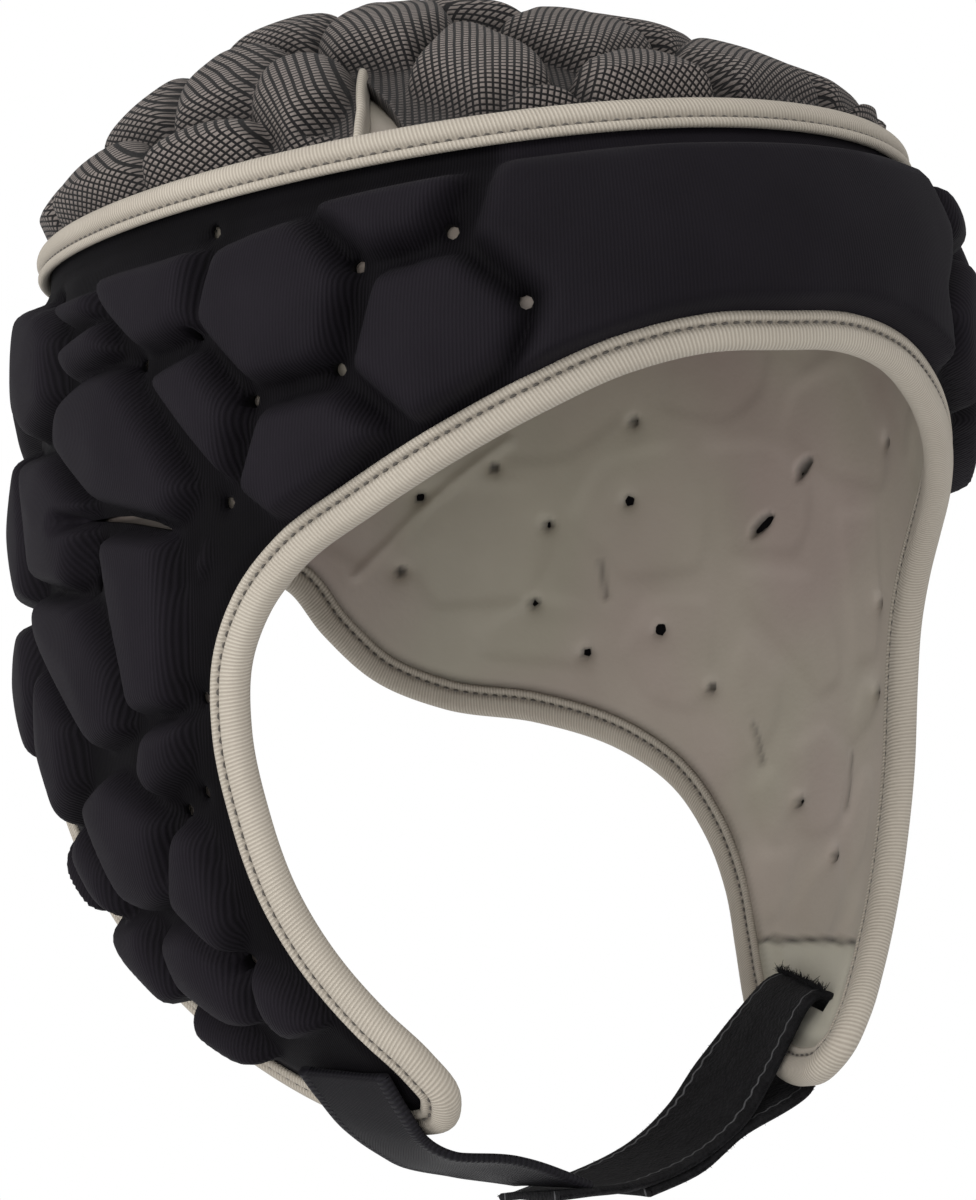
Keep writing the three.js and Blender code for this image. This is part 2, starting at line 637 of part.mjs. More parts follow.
const scrumCap = new THREE.Group();
function addPiece(name, solid, look) {
  const { vertProperties, triVerts, numProp } = solid.getMesh();
  const positions = [];
  for (let i = 0; i < vertProperties.length; i += numProp) {
    positions.push(vertProperties[i], vertProperties[i + 1], vertProperties[i + 2]);
  }
  const geometry = new THREE.BufferGeometry();
  geometry.setAttribute("position", new THREE.Float32BufferAttribute(positions, 3));
  geometry.setIndex([...triVerts]);
  geometry.computeVertexNormals();
  const mesh = new THREE.Mesh(geometry, new THREE.MeshStandardMaterial(palette[look]));
  mesh.name = name;
  scrumCap.add(mesh);
}
addPiece("padded_band", band, "cloth");
addPiece("band_lining", lining, "foam");
addPiece("crown_pad", crown, "net");
addPiece("crown_lining", crownLining, "foam");
addPiece("crown_binding", crownBinding, "tape");
addPiece("edge_binding", edgeBinding, "tape");
addPiece("strap_base", strapBase, "strap");
addPiece("chin_strap", chinStrap, "strap");

export default scrumCap;
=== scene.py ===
import math

import bmesh
import bpy
import numpy as np
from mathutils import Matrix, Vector


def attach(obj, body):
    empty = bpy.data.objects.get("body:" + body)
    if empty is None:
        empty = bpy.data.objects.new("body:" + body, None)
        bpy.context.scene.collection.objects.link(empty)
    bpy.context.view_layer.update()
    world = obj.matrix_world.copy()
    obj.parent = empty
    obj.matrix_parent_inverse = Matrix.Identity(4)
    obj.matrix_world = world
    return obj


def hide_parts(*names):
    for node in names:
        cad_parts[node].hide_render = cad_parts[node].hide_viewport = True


# A padded rugby scrum cap on a white ground. Lengths are in millimetres until a mesh is made,
# +Z is up, the face opens towards -Y and the wearer's right side is -X.
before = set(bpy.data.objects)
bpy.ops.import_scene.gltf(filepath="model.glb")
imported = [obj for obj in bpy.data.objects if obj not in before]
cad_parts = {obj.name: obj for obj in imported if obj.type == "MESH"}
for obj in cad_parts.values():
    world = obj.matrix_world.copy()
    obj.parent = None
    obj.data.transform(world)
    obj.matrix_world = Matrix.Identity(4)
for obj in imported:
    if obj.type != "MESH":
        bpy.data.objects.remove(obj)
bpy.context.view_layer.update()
scene = bpy.context.scene
random = np.random.default_rng(7)

# The photograph's view: degrees, metres and a lens in millimetres.
camera = {
    "azimuth": -31.0,
    "elevation": 4.5,
    "distance": 0.8,
    "target": (0.0, 0.0, -0.112),
    "lens": 116.4,
    "sensor": 36.0,
    "nearest": 0.01,
    "farthest": 50.0,
}

# The form under every layer. The seam drops from the forehead to the back, and the flaps tuck in
# towards their tips. Angles go from the middle of the forehead, and the right side's are above nought.
head = {
    "halfWidth": 83.0,
    "halfLength": 101.0,
    "seamDepth": 36.5,
    "seamFall": 17.0,
    "shoulderHeight": 34.0,
    "frontLean": 0.16,
    "crownCentreBack": 20.0,
    "crownFlatFront": 1.7,
    "crownFlatBack": 2.8,
    "widestDepth": 96.0,
    "flapDepth": 214.0,
    "flapTuck": 0.5,
    "flapTuckForward": 0.08,
    "flapTuckPower": 3.4,
}

# The lower edge from the forehead to the back: angle, and share of the flap depth.
edgeStations = [
    (0, 0.268), (10, 0.27), (20, 0.287), (30, 0.32), (40, 0.361), (50, 0.409),
    (59, 0.457), (64, 0.5), (67, 0.55), (67.5, 0.612), (66, 0.682), (63.5, 0.757),
    (60, 0.815), (56, 0.86), (52, 0.897), (50.5, 0.925), (52.5, 0.948), (58, 0.962),
    (66, 0.964), (75, 0.95), (83.5, 0.922), (91, 0.883), (98, 0.834), (105, 0.785),
    (113, 0.738), (123, 0.703), (136, 0.68), (150, 0.668), (160, 0.64), (168, 0.59),
    (174, 0.54), (180, 0.522),
]

# Heights above that form: the cloth between the pads, its thin edges, and its inner face.
layers = {
    "groove": 4.4,
    "thinEdge": 3.3,
    "backing": 1.8,
}


def seamZ(angle):
    return -head["seamDepth"] + head["seamFall"] * np.cos(angle)


# The form under the band: an oval that leans in near the seam and draws in towards the flap tips.
def bandBase(angle, z):
    c = np.cos(angle)
    s = np.sin(angle)
    lean = head["frontLean"] * ((1 + c) / 2) ** 2
    near = np.clip(1 - (seamZ(angle) - z) / head["shoulderHeight"], 0, None)
    scale = 1 - lean * near**2
    low = np.clip((-head["widestDepth"] - z) / (head["flapDepth"] - head["widestDepth"]), 0, None)
    low = low ** head["flapTuckPower"]
    x = -head["halfWidth"] * scale * (1 - head["flapTuck"] * low) * s
    y = -head["halfLength"] * scale * (1 - head["flapTuckForward"] * low) * c
    return np.stack([x, y, z + 0 * angle], -1)


def crownBase(angle, share):
    rim = bandBase(angle, seamZ(angle))
    mean = (head["crownFlatFront"] + head["crownFlatBack"]) / 2
    half = (head["crownFlatBack"] - head["crownFlatFront"]) / 2
    power = mean - half * np.cos(angle)
    x = rim[..., 0] * share
    y = head["crownCentreBack"] * (1 - share) + rim[..., 1] * share
    return np.stack([x, y, seamZ(angle) * np.maximum(share, 1e-6) ** power], -1)


def unit(vectors):
    return vectors / np.maximum(np.linalg.norm(vectors, axis=-1, keepdims=True), 1e-9)


def bandNormal(angle, z):
    around = bandBase(angle + 1e-3, z) - bandBase(angle - 1e-3, z)
    along = bandBase(angle, z + 0.05) - bandBase(angle, z - 0.05)
    normal = unit(np.cross(around, along))
    point = bandBase(angle, z)
    inward = np.sum(normal[..., :2] * point[..., :2], -1) < 0
    return np.where(inward[..., None], -normal, normal)


def crownNormal(angle, share):
    at = np.clip(share, 0.03, 0.999)
    around = crownBase(angle + 1e-3, at) - crownBase(angle - 1e-3, at)
    along = crownBase(angle, at + 1e-3) - crownBase(angle, at - 1e-3)
    normal = unit(np.cross(around, along))
    normal = np.where(normal[..., 2:] < 0, -normal, normal)
    centre = np.clip(share / 0.06, 0, 1)[..., None]
    return unit(normal * centre + np.array([0, 0, 1.0]) * (1 - centre))


# Distance round the oval at its widest, from the middle of the forehead.
tableAngles = np.linspace(0, np.pi, 721)
tableSteps = np.hypot(head["halfWidth"] * np.cos(tableAngles), head["halfLength"] * np.sin(tableAngles))
tableMeans = (tableSteps[1:] + tableSteps[:-1]) / 2
tableArcs = np.concatenate([[0], np.cumsum(tableMeans * np.diff(tableAngles))])


def toArc(angle):
    return np.sign(angle) * np.interp(np.abs(angle), tableAngles, tableArcs)


def toAngle(arc):
    return np.sign(arc) * np.interp(np.abs(arc), tableArcs, tableAngles)


# Corners given by angle and share of the flap depth, placed in the band's flat chart: distance
# round the head across, height up.
def chartOutline(corners):
    return np.array([(toArc(math.radians(a)), -share * head["flapDepth"]) for a, share in corners], float)


def smoothstep(value, low, high):
    t = np.clip((value - low) / (high - low), 0, 1)
    return t * t * (3 - 2 * t)


# One in the middle and nought well past the width. A higher power gives a flatter top.
def bell(value, width, power=2):
    return np.exp(-((value / width) ** power))


# A smooth closed curve through points, resampled in even steps.
def closedSpline(points, step):
    points = np.asarray(points, float)
    count = len(points)
    gaps = np.linalg.norm(np.roll(points, -1, 0) - points, axis=1)
    system = np.zeros((count, count))
    right = np.zeros(points.shape)
    for i in range(count):
        before = gaps[i - 1]
        after = gaps[i]
        system[i, i - 1] += before
        system[i, i] += 2 * (before + after)
        system[i, (i + 1) % count] += after
        forward = (points[(i + 1) % count] - points[i]) / after
        backward = (points[i] - points[i - 1]) / before
        right[i] = 6 * (forward - backward)
    bend = np.linalg.solve(system, right)
    pieces = []
    for i in range(count):
        j = (i + 1) % count
        h = gaps[i]
        t = np.linspace(0, 1, max(int(h * 8 / step), 4), endpoint=False)[:, None]
        a = 1 - t
        curve = a * points[i] + t * points[j]
        curve += ((a**3 - a) * bend[i] + (t**3 - t) * bend[j]) * h * h / 6
        pieces.append(curve)
    curve = np.concatenate(pieces)
    return evenly(curve, step, True)


# A polyline's points laid out again in equal steps of about the given length.
def evenly(curve, step, closed):
    if closed:
        curve = np.concatenate([curve, curve[:1]])
    lengths = np.concatenate([[0], np.cumsum(np.linalg.norm(np.diff(curve, axis=0), axis=1))])
    count = max(int(round(lengths[-1] / step)), 3)
    places = np.linspace(0, lengths[-1], count + 1)
    if closed:
        places = places[:-1]
    return np.stack([np.interp(places, lengths, curve[:, k]) for k in range(curve.shape[1])], -1)


# Signed distance to a closed outline, positive inside.
def outlineDistance(x, y, outline):
    best = np.full(x.shape, 1e12)
    inside = np.zeros(x.shape, bool)
    for i in range(len(outline)):
        ax, ay = outline[i - 1]
        bx, by = outline[i]
        ex = bx - ax
        ey = by - ay
        along = ((x - ax) * ex + (y - ay) * ey) / max(ex * ex + ey * ey, 1e-12)
        along = np.clip(along, 0, 1)
        best = np.minimum(best, (x - ax - along * ex) ** 2 + (y - ay - along * ey) ** 2)
        crosses = (ay > y) != (by > y)
        slope = ex / (ey if abs(ey) > 1e-12 else 1e-12)
        inside ^= crosses & (x < ax + (y - ay) * slope)
    return np.where(inside, 1, -1) * np.sqrt(best)


# How far inside a convex outline a point lies, with its corners rounded by a soft minimum of the
# distances to its sides: minus the logarithm of the sum of exponentials of minus each distance.
def softDistance(x, y, outline, spread, softness):
    outline = np.asarray(outline, float)
    ahead = np.roll(outline, -1, 0)
    area = np.sum(outline[:, 0] * ahead[:, 1] - outline[:, 1] * ahead[:, 0])
    if area < 0:
        outline = outline[::-1]
    total = np.zeros(x.shape)
    for i in range(len(outline)):
        a = outline[i - 1]
        side = outline[i] - a
        side = side / np.linalg.norm(side)
        away = (y - a[1]) * side[0] - (x - a[0]) * side[1] + spread
        total += np.exp(-np.clip(away, -30, 60) / softness)
    return -softness * np.log(total)


# The height of a moulded pad: a quarter circle at its edge, then a slow dome towards the middle.
def padHeight(x, y, outline, pad):
    inner = softDistance(x, y, outline, pad["spread"], pad["softness"])
    t = np.clip(inner / pad["roll"], 0, 1)
    shoulder = (1 - (1 - t) ** 2) ** pad["power"]
    dome = 1 - np.exp(-np.clip(inner, 0, None) / pad["domeReach"])
    return pad["height"] * shoulder + pad["dome"] * dome


# A field smoothed along its rows and columns by a bell whose width is in grid steps.
def blurred(field, sigmaRows, sigmaColumns, looped):
    for axis, sigma in ((0, sigmaRows), (1, sigmaColumns)):
        if sigma <= 0:
            continue
        reach = int(3 * sigma) + 1
        weights = np.exp(-0.5 * (np.arange(-reach, reach + 1) / sigma) ** 2)
        weights /= weights.sum()
        pads = [(0, 0), (0, 0)]
        pads[axis] = (reach, reach)
        wide = np.pad(field, pads, mode="wrap" if looped and axis == 0 else "edge")
        size = field.shape[axis]
        total = np.zeros(field.shape)
        for k, weight in enumerate(weights):
            total += weight * (wide[k:k + size] if axis == 0 else wide[:, k:k + size])
        field = total
    return field


# Smooth random bumps between about -1 and 1, with cells of the given size in grid steps.
def noiseField(shape, cellRows, cellColumns):
    rows = max(int(shape[0] / cellRows), 3)
    columns = max(int(shape[1] / cellColumns), 3)
    coarse = random.standard_normal((rows, columns))
    coarse = np.concatenate([coarse, coarse[:1]])
    atRows = np.linspace(0, rows, shape[0], endpoint=False)
    atColumns = np.linspace(0, columns - 1, shape[1])
    i = atRows.astype(int)
    j = np.minimum(atColumns.astype(int), columns - 2)
    a = (atRows - i)[:, None]
    b = (atColumns - j)[None, :]
    a = a * a * (3 - 2 * a)
    b = b * b * (3 - 2 * b)
    upper = coarse[i][:, j] * (1 - b) + coarse[i][:, j + 1] * b
    lower = coarse[i + 1][:, j] * (1 - b) + coarse[i + 1][:, j + 1] * b
    return upper * (1 - a) + lower * a


# One piece from a table of points and quads of their numbers, with its UV map and attributes.
def addMesh(name, points, faces, material, uv=None, values=None):
    faces = np.asarray(faces, np.int32)
    used, faces = np.unique(faces, return_inverse=True)
    faces = faces.reshape(-1, 4)
    points = points.reshape(-1, 3)[used] * 0.001
    mesh = bpy.data.meshes.new(name)
    mesh.vertices.add(len(points))
    mesh.vertices.foreach_set("co", points.astype(np.float32).ravel())
    mesh.loops.add(faces.size)
    mesh.loops.foreach_set("vertex_index", faces.astype(np.int32).ravel())
    mesh.polygons.add(len(faces))
    mesh.polygons.foreach_set("loop_start", np.arange(0, faces.size, 4, dtype=np.int32))
    mesh.polygons.foreach_set("loop_total", np.full(len(faces), 4, dtype=np.int32))
    mesh.polygons.foreach_set("use_smooth", np.full(len(faces), True))
    mesh.update(calc_edges=True)
    if uv is not None:
        layer = mesh.uv_layers.new(name="cloth")
        layer.data.foreach_set("uv", uv.reshape(-1, 2)[used][faces.ravel()].astype(np.float32).ravel())
    for key, field in (values or {}).items():
        attribute = mesh.attributes.new(key, "FLOAT", "POINT")
        attribute.data.foreach_set("value", field.reshape(-1)[used].astype(np.float32))
    mesh.materials.append(material)
    piece = bpy.data.objects.new(name, mesh)
    scene.collection.objects.link(piece)
    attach(piece, "root")
    return piece


# Quads between neighbouring points of a grid. A looped grid joins its last row to its first.
def gridFaces(rows, columns, looped, keep=None):
    i = np.arange(rows if looped else rows - 1)
    j = np.arange(columns - 1)
    a, b = np.meshgrid(i, j, indexing="ij")
    c = (a + 1) % rows
    quads = np.stack([a * columns + b, c * columns + b, c * columns + b + 1, a * columns + b + 1], -1)
    if keep is not None:
        quads = quads[keep]
    return quads.reshape(-1, 4)


# The same sheet of quads at the front and the back, with a wall round every free edge.
def shellFaces(quads, offset):
    edges = np.concatenate([quads[:, [k, (k + 1) % 4]] for k in range(4)])
    keys = np.sort(edges, 1)
    keys = keys[:, 0].astype(np.int64) * (offset + 1) + keys[:, 1]
    first, counts = np.unique(keys, return_index=True, return_counts=True)[1:]
    rim = edges[first[counts == 1]]
    walls = np.stack([rim[:, 1], rim[:, 0], rim[:, 0] + offset, rim[:, 1] + offset], -1)
    return np.concatenate([quads, quads[:, ::-1] + offset, walls])


# A body swept along frames: each section holds points as distances along out and across.
def sweptGrid(points, out, across, profile):
    return (points[:, None] + out[:, None] * profile[None, :, 0, None]
            + across[:, None] * profile[None, :, 1, None])


# A piece from a swept grid: a loop that closes on itself, or a length with both ends capped.
def sweptPiece(name, grid, material, closedAlong, uv, groove=None):
    rows, columns = grid.shape[:2]
    wide = np.concatenate([grid, grid[:, :1]], 1)
    values = None
    if groove is not None:
        values = {"groove": np.tile(np.append(groove, groove[0]), (rows, 1))}
    if closedAlong:
        wide = np.concatenate([wide, wide[:1]])
        uv = np.concatenate([uv, 2 * uv[-1:] - uv[-2:-1]])
        values = {"groove": np.concatenate([values["groove"], values["groove"][:1]])}
    faces = gridFaces(wide.shape[0], columns + 1, False)
    ends = []
    if not closedAlong:
        for row in (0, rows - 1):
            for k in range(1, columns // 2):
                a = row * (columns + 1)
                quad = [a + k - 1, a + k, a + columns - 1 - k, a + columns - k]
                ends.append(quad[::-1] if row else quad)
    if ends:
        faces = np.concatenate([faces, np.array(ends)])
    return addMesh(name, wide, faces, material, uv, values)


# Points that lie on each other are joined, and every face is turned outwards.
def orient(piece):
    shape = bmesh.new()
    shape.from_mesh(piece.data)
    bmesh.ops.remove_doubles(shape, verts=shape.verts, dist=1e-6)
    bmesh.ops.recalc_face_normals(shape, faces=shape.faces)
    shape.to_mesh(piece.data)
    shape.free()


# Spacing of the ribs, strands and threads of each cloth.
spacing = {
    "knit": 0.62,
    "tape": 0.72,
    "net": 2.05,
    "netThread": 0.35,
    "twill": 0.6,
    "overcast": 1.15,
}


# The shader nodes of one material, each added by a short call that gives back its output.
class Nodes:
    def __init__(self, name):
        self.material = bpy.data.materials.new(name)
        self.material.use_nodes = True
        self.tree = self.material.node_tree
        self.tree.nodes.clear()

    def add(self, kind, settings=None, **inputs):
        node = self.tree.nodes.new(kind)
        for key, value in (settings or {}).items():
            setattr(node, key, value)
        for key, value in inputs.items():
            numbered = key[0] == "i" and key[1:].isdigit()
            socket = node.inputs[int(key[1:]) if numbered else key.replace("_", " ")]
            if isinstance(value, bpy.types.NodeSocket):
                self.tree.links.new(value, socket)
            else:
                socket.default_value = value
        return node.outputs[0]

    def maths(self, operation, a, b=0.0, c=0.0):
        return self.add("ShaderNodeMath", {"operation": operation}, i0=a, i1=b, i2=c)

    def mix(self, share, a, b):
        node = self.tree.nodes.new("ShaderNodeMix")
        node.data_type = "RGBA"
        for index, value in ((0, share), (6, a), (7, b)):
            if isinstance(value, bpy.types.NodeSocket):
                self.tree.links.new(value, node.inputs[index])
            else:
                node.inputs[index].default_value = value
        return node.outputs[2]

    def uv(self):
        node = self.tree.nodes.new("ShaderNodeUVMap")
        node.uv_map = "cloth"
        return node.outputs[0]

    def parts(self, vector):
        node = self.tree.nodes.new("ShaderNodeSeparateXYZ")
        self.tree.links.new(vector, node.inputs[0])
        return node.outputs[0], node.outputs[1]

    def objectPlace(self):
        return self.tree.nodes.new("ShaderNodeTexCoord").outputs["Object"]

    def noise(self, vector, scale, detail=2.0):
        node = self.tree.nodes.new("ShaderNodeTexNoise")
        self.tree.links.new(vector, node.inputs["Vector"])
        node.inputs["Scale"].default_value = scale
        node.inputs["Detail"].default_value = detail
        return node.outputs[0]

    def value(self, name):
        node = self.tree.nodes.new("ShaderNodeAttribute")
        node.attribute_name = name
        return node.outputs["Fac"]

    # Ribs across a coordinate in millimetres: half a cosine wave squared, from 0 to 1.
    def ribs(self, coordinate, pitch):
        turn = self.maths("MULTIPLY", coordinate, 2 * math.pi / pitch)
        return self.maths("MULTIPLY_ADD", self.maths("COSINE", turn), 0.5, 0.5)

    def bump(self, height, strength, distance):
        node = self.tree.nodes.new("ShaderNodeBump")
        node.inputs["Strength"].default_value = strength
        node.inputs["Distance"].default_value = distance
        self.tree.links.new(height, node.inputs["Height"])
        return node.outputs[0]

    def finish(self, colour, roughness, normal, sheen, sheenRough, sheenTint, specular):
        shader = self.add("ShaderNodeBsdfPrincipled", None, Base_Color=colour, Roughness=roughness)
        node = shader.node
        self.tree.links.new(normal, node.inputs["Normal"])
        node.inputs["Sheen Weight"].default_value = sheen
        node.inputs["Sheen Roughness"].default_value = sheenRough
        node.inputs["Sheen Tint"].default_value = sheenTint
        node.inputs["Specular IOR Level"].default_value = specular
        output = self.tree.nodes.new("ShaderNodeOutputMaterial")
        self.tree.links.new(shader, output.inputs["Surface"])
        return self.material


# Black stretch cloth: fine upright knit ribs that open where the cloth is pulled over the
# shoulder of a pad, and painted shade: a darker tone down in the grooves.
def makeBlackCloth():
    n = Nodes("black_cloth")
    u = n.parts(n.uv())[0]
    place = n.objectPlace()
    patches = n.noise(place, 60.0, 3.0)
    speckle = n.noise(place, 2400.0, 1.0)
    rise = n.value("rise")
    steep = n.value("steep")
    wander = n.maths("MULTIPLY_ADD", n.noise(place, 30.0, 2.0), 0.9, u)
    ribs = n.ribs(wander, spacing["knit"])
    tone = n.maths("MULTIPLY_ADD", patches, 0.3, -0.16)
    # Painted shade: the colour grows darker as the pads' rise falls away into the grooves.
    tone = n.maths("MULTIPLY_ADD", rise, 0.62, tone)
    tone = n.maths("MULTIPLY_ADD", ribs, n.maths("MULTIPLY_ADD", steep, 0.16, 0.12), tone)
    colour = n.mix(tone, (0.0007, 0.0005, 0.0008, 1), (0.0112, 0.0094, 0.0126, 1))
    height = n.maths("MULTIPLY", ribs, n.maths("MULTIPLY_ADD", steep, 0.35, 0.5))
    height = n.maths("MULTIPLY_ADD", speckle, 0.45, height)
    normal = n.bump(height, 0.65, 0.00015)
    return n.finish(colour, 0.7, normal, 0.012, 0.5, (0.8, 0.78, 0.84, 1), 0.045)


# Smooth foam skin: mottled taupe, pinker and greener by turns, with tiny pores.
def makeFoam():
    n = Nodes("foam_lining")
    place = n.objectPlace()
    clouds = n.noise(place, 24.0, 4.0)
    drift = n.noise(place, 13.0, 2.0)
    pores = n.noise(place, 900.0, 2.0)
    tone = n.maths("MULTIPLY_ADD", clouds, 1.5, -0.25)
    pinker = n.mix(tone, (0.25, 0.203, 0.178, 1), (0.35, 0.294, 0.262, 1))
    greener = n.mix(tone, (0.222, 0.202, 0.16, 1), (0.33, 0.302, 0.245, 1))
    turn = n.add("ShaderNodeMapRange", None, Value=drift, From_Min=0.4, From_Max=0.6)
    plain = n.mix(turn, pinker, greener)
    patch = n.mix(tone, (0.29, 0.272, 0.222, 1), (0.39, 0.368, 0.305, 1))
    colour = n.mix(n.value("patch"), plain, patch)
    # Painted shade: the shade attribute darkens the holes, slits, creases, the patch's stitched line, the
    # lining behind the ear slit and the tuck under the binding.
    colour = n.mix(n.value("shade"), colour, (0.03, 0.025, 0.02, 1))
    soft = n.noise(place, 140.0, 3.0)
    height = n.maths("ADD", n.maths("MULTIPLY", pores, 0.35), n.maths("MULTIPLY", soft, 0.8))
    normal = n.bump(height, 0.4, 0.0003)
    return n.finish(colour, 0.5, normal, 0.05, 0.5, (1, 0.97, 0.93, 1), 0.28)


# Ribbed stretch tape: narrow ribs across its length, darker between them, and painted shade in its stitched
# grooves.
def makeTape():
    n = Nodes("beige_tape")
    u, v = n.parts(n.uv())
    place = n.objectPlace()
    slanted = n.maths("MULTIPLY_ADD", v, 0.18, u)
    ribs = n.ribs(slanted, spacing["tape"])
    fuzz = n.noise(place, 1800.0, 2.0)
    clouds = n.noise(place, 45.0, 3.0)
    tone = n.maths("ADD", n.maths("MULTIPLY", ribs, 0.62), n.maths("MULTIPLY", clouds, 0.42))
    colour = n.mix(tone, (0.205, 0.178, 0.145, 1), (0.355, 0.322, 0.272, 1))
    # Painted shade in the stitched grooves, where the groove attribute is set.
    colour = n.mix(n.maths("MULTIPLY", n.value("groove"), 0.62), colour, (0.085, 0.071, 0.056, 1))
    height = n.maths("ADD", ribs, n.maths("MULTIPLY", fuzz, 0.5))
    normal = n.bump(height, 0.6, 0.00018)
    return n.finish(colour, 0.72, normal, 0.04, 0.5, (1, 0.98, 0.94, 1), 0.22)


# Black net over taupe cloth: two sets of slanting strands with small diamonds between them.
def makeNet():
    n = Nodes("crown_net")
    u, v = n.parts(n.uv())
    place = n.objectPlace()
    sway = n.maths("MULTIPLY_ADD", n.noise(place, 22.0, 2.0), 1.6, u)
    slant = n.maths("MULTIPLY", v, 0.85)
    first = n.ribs(n.maths("ADD", sway, slant), spacing["net"])
    second = n.ribs(n.maths("SUBTRACT", sway, slant), spacing["net"])
    strand = n.maths("MAXIMUM", first, second)
    cover = n.add("ShaderNodeMapRange", None, Value=strand, From_Min=0.62, From_Max=0.78)
    clouds = n.noise(place, 70.0, 2.0)
    rise = n.value("rise")
    weave = n.noise(place, 1500.0, 2.0)
    speckled = n.maths("MULTIPLY_ADD", clouds, 0.3, n.maths("MULTIPLY", weave, 0.25))
    # Painted shade: the ground darkens from the pad tops down into the grooves between them.
    tone = n.maths("MULTIPLY_ADD", rise, 0.65, speckled)
    ground = n.mix(tone, (0.014, 0.0118, 0.0112, 1), (0.17, 0.146, 0.133, 1))
    colour = n.mix(cover, ground, (0.0035, 0.003, 0.0032, 1))
    thread = n.ribs(n.maths("ADD", u, v), spacing["netThread"])
    height = n.maths("ADD", strand, n.maths("MULTIPLY", thread, 0.12))
    normal = n.bump(height, 0.7, 0.0004)
    return n.finish(colour, 0.72, normal, 0.02, 0.5, (0.9, 0.88, 0.86, 1), 0.15)


# Black strap cloth: a fine slanting twill with a coarse overcast rim along both edges.
def makeWebbing():
    n = Nodes("strap_webbing")
    u, v = n.parts(n.uv())
    place = n.objectPlace()
    twill = n.ribs(n.maths("ADD", u, n.maths("MULTIPLY", v, 0.6)), spacing["twill"])
    overcast = n.ribs(n.maths("MULTIPLY_ADD", v, 0.25, u), spacing["overcast"])
    rim = n.add("ShaderNodeMapRange", None, Value=n.maths("ABSOLUTE", v), From_Min=9.4, From_Max=9.9)
    fuzz = n.noise(place, 1500.0, 2.0)
    tone = n.maths("MULTIPLY_ADD", twill, 0.25, n.maths("MULTIPLY", fuzz, 0.5))
    rimThread = n.maths("MULTIPLY", overcast, rim)
    tone = n.maths("MULTIPLY_ADD", rimThread, 0.6, tone)
    colour = n.mix(tone, (0.0014, 0.0012, 0.0018, 1), (0.0074, 0.0066, 0.009, 1))
    inside = n.maths("SUBTRACT", 1.0, rim)
    middle = n.maths("MULTIPLY", inside, n.maths("MULTIPLY_ADD", fuzz, 0.5, twill))
    height = n.maths("MULTIPLY_ADD", rimThread, 3.2, middle)
    normal = n.bump(height, 0.6, 0.0002)
    return n.finish(colour, 0.6, normal, 0.012, 0.4, (0.8, 0.8, 0.85, 1), 0.08)


# Brushed loop pile: matted tiny loops, with one wavy line of grey thread near each edge.
def makePile():
    n = Nodes("strap_loop")
    u, v = n.parts(n.uv())
    place = n.objectPlace()
    loops = n.noise(place, 1300.0, 3.0)
    mats = n.noise(place, 260.0, 3.0)
    tone = n.maths("MULTIPLY_ADD", loops, 0.9, n.maths("MULTIPLY_ADD", mats, 0.7, -0.45))
    colour = n.mix(tone, (0.0015, 0.0014, 0.0016, 1), (0.0125, 0.012, 0.0132, 1))
    wave = n.maths("MULTIPLY", n.maths("SINE", n.maths("MULTIPLY", u, 1.9)), 0.28)
    away = n.maths("ABSOLUTE", n.maths("ADD", n.maths("SUBTRACT", n.maths("ABSOLUTE", v), 9.9), wave))
    thread = n.add("ShaderNodeMapRange", None, Value=away, From_Min=0.34, From_Max=0.2)
    colour = n.mix(thread, colour, (0.075, 0.075, 0.078, 1))
    height = n.maths("ADD", loops, n.maths("MULTIPLY", mats, 0.8))
    height = n.maths("MULTIPLY_ADD", thread, 0.6, height)
    normal = n.bump(height, 0.9, 0.0006)
    return n.finish(colour, 0.85, normal, 0.02, 0.5, (0.7, 0.7, 0.74, 1), 0.1)


# Sewing thread, its colour darkened by painted shade from its own groove, so it is darker than the tape.
def makeThread(name, dark, light):
    n = Nodes(name)
    place = n.objectPlace()
    twist = n.noise(place, 3000.0, 1.0)
    colour = n.mix(twist, dark, light)
    normal = n.bump(twist, 0.4, 0.0001)
    return n.finish(colour, 0.6, normal, 0.2, 0.4, (1, 1, 1, 1), 0.4)


blackCloth = makeBlackCloth()
foam = makeFoam()
tape = makeTape()
net = makeNet()
webbing = makeWebbing()
pile = makePile()
beigeThread = makeThread("beige_thread", (0.028, 0.024, 0.02, 1), (0.075, 0.064, 0.052, 1))
print("materials made")

# The lower edge as one closed curve in the flat chart: arc across, height up.
edgeHalf = [(float(arc), float(z)) for arc, z in chartOutline(edgeStations)]
backArc = float(tableArcs[-1])
unrolled = np.array(edgeHalf + [(2 * backArc - a, z) for a, z in reversed(edgeHalf[1:-1])])


def wrapArc(arc):
    return np.where(arc > backArc, arc - 2 * backArc, arc)


# The unrolled edge is open at the forehead, so it is splined with a copy on either side.
def splineEdge(step):
    wide = np.concatenate([unrolled - [2 * backArc, 0], unrolled, unrolled + [2 * backArc, 0]])
    fine = []
    count = len(wide)
    slopes = np.zeros(wide.shape)
    lengths = np.concatenate([[0], np.cumsum(np.linalg.norm(np.diff(wide, axis=0), axis=1))])
    for i in range(1, count - 1):
        before = (wide[i] - wide[i - 1]) / (lengths[i] - lengths[i - 1])
        after = (wide[i + 1] - wide[i]) / (lengths[i + 1] - lengths[i])
        a = lengths[i + 1] - lengths[i]
        b = lengths[i] - lengths[i - 1]
        slopes[i] = (before * a + after * b) / (a + b)
    for i in range(len(unrolled), 2 * len(unrolled)):
        h = lengths[i + 1] - lengths[i]
        t = np.linspace(0, 1, max(int(h * 6), 4), endpoint=False)[:, None]
        curve = (2 * t**3 - 3 * t**2 + 1) * wide[i] + (t**3 - 2 * t**2 + t) * h * slopes[i]
        curve += (3 * t**2 - 2 * t**3) * wide[i + 1] + (t**3 - t**2) * h * slopes[i + 1]
        fine.append(curve)
    fine = np.concatenate(fine + [unrolled[:1] + [2 * backArc, 0]])
    return evenly(fine, step, False)[:-1]


edgeFine = splineEdge(2.0)
halfOutline = edgeFine[edgeFine[:, 0] <= backArc]

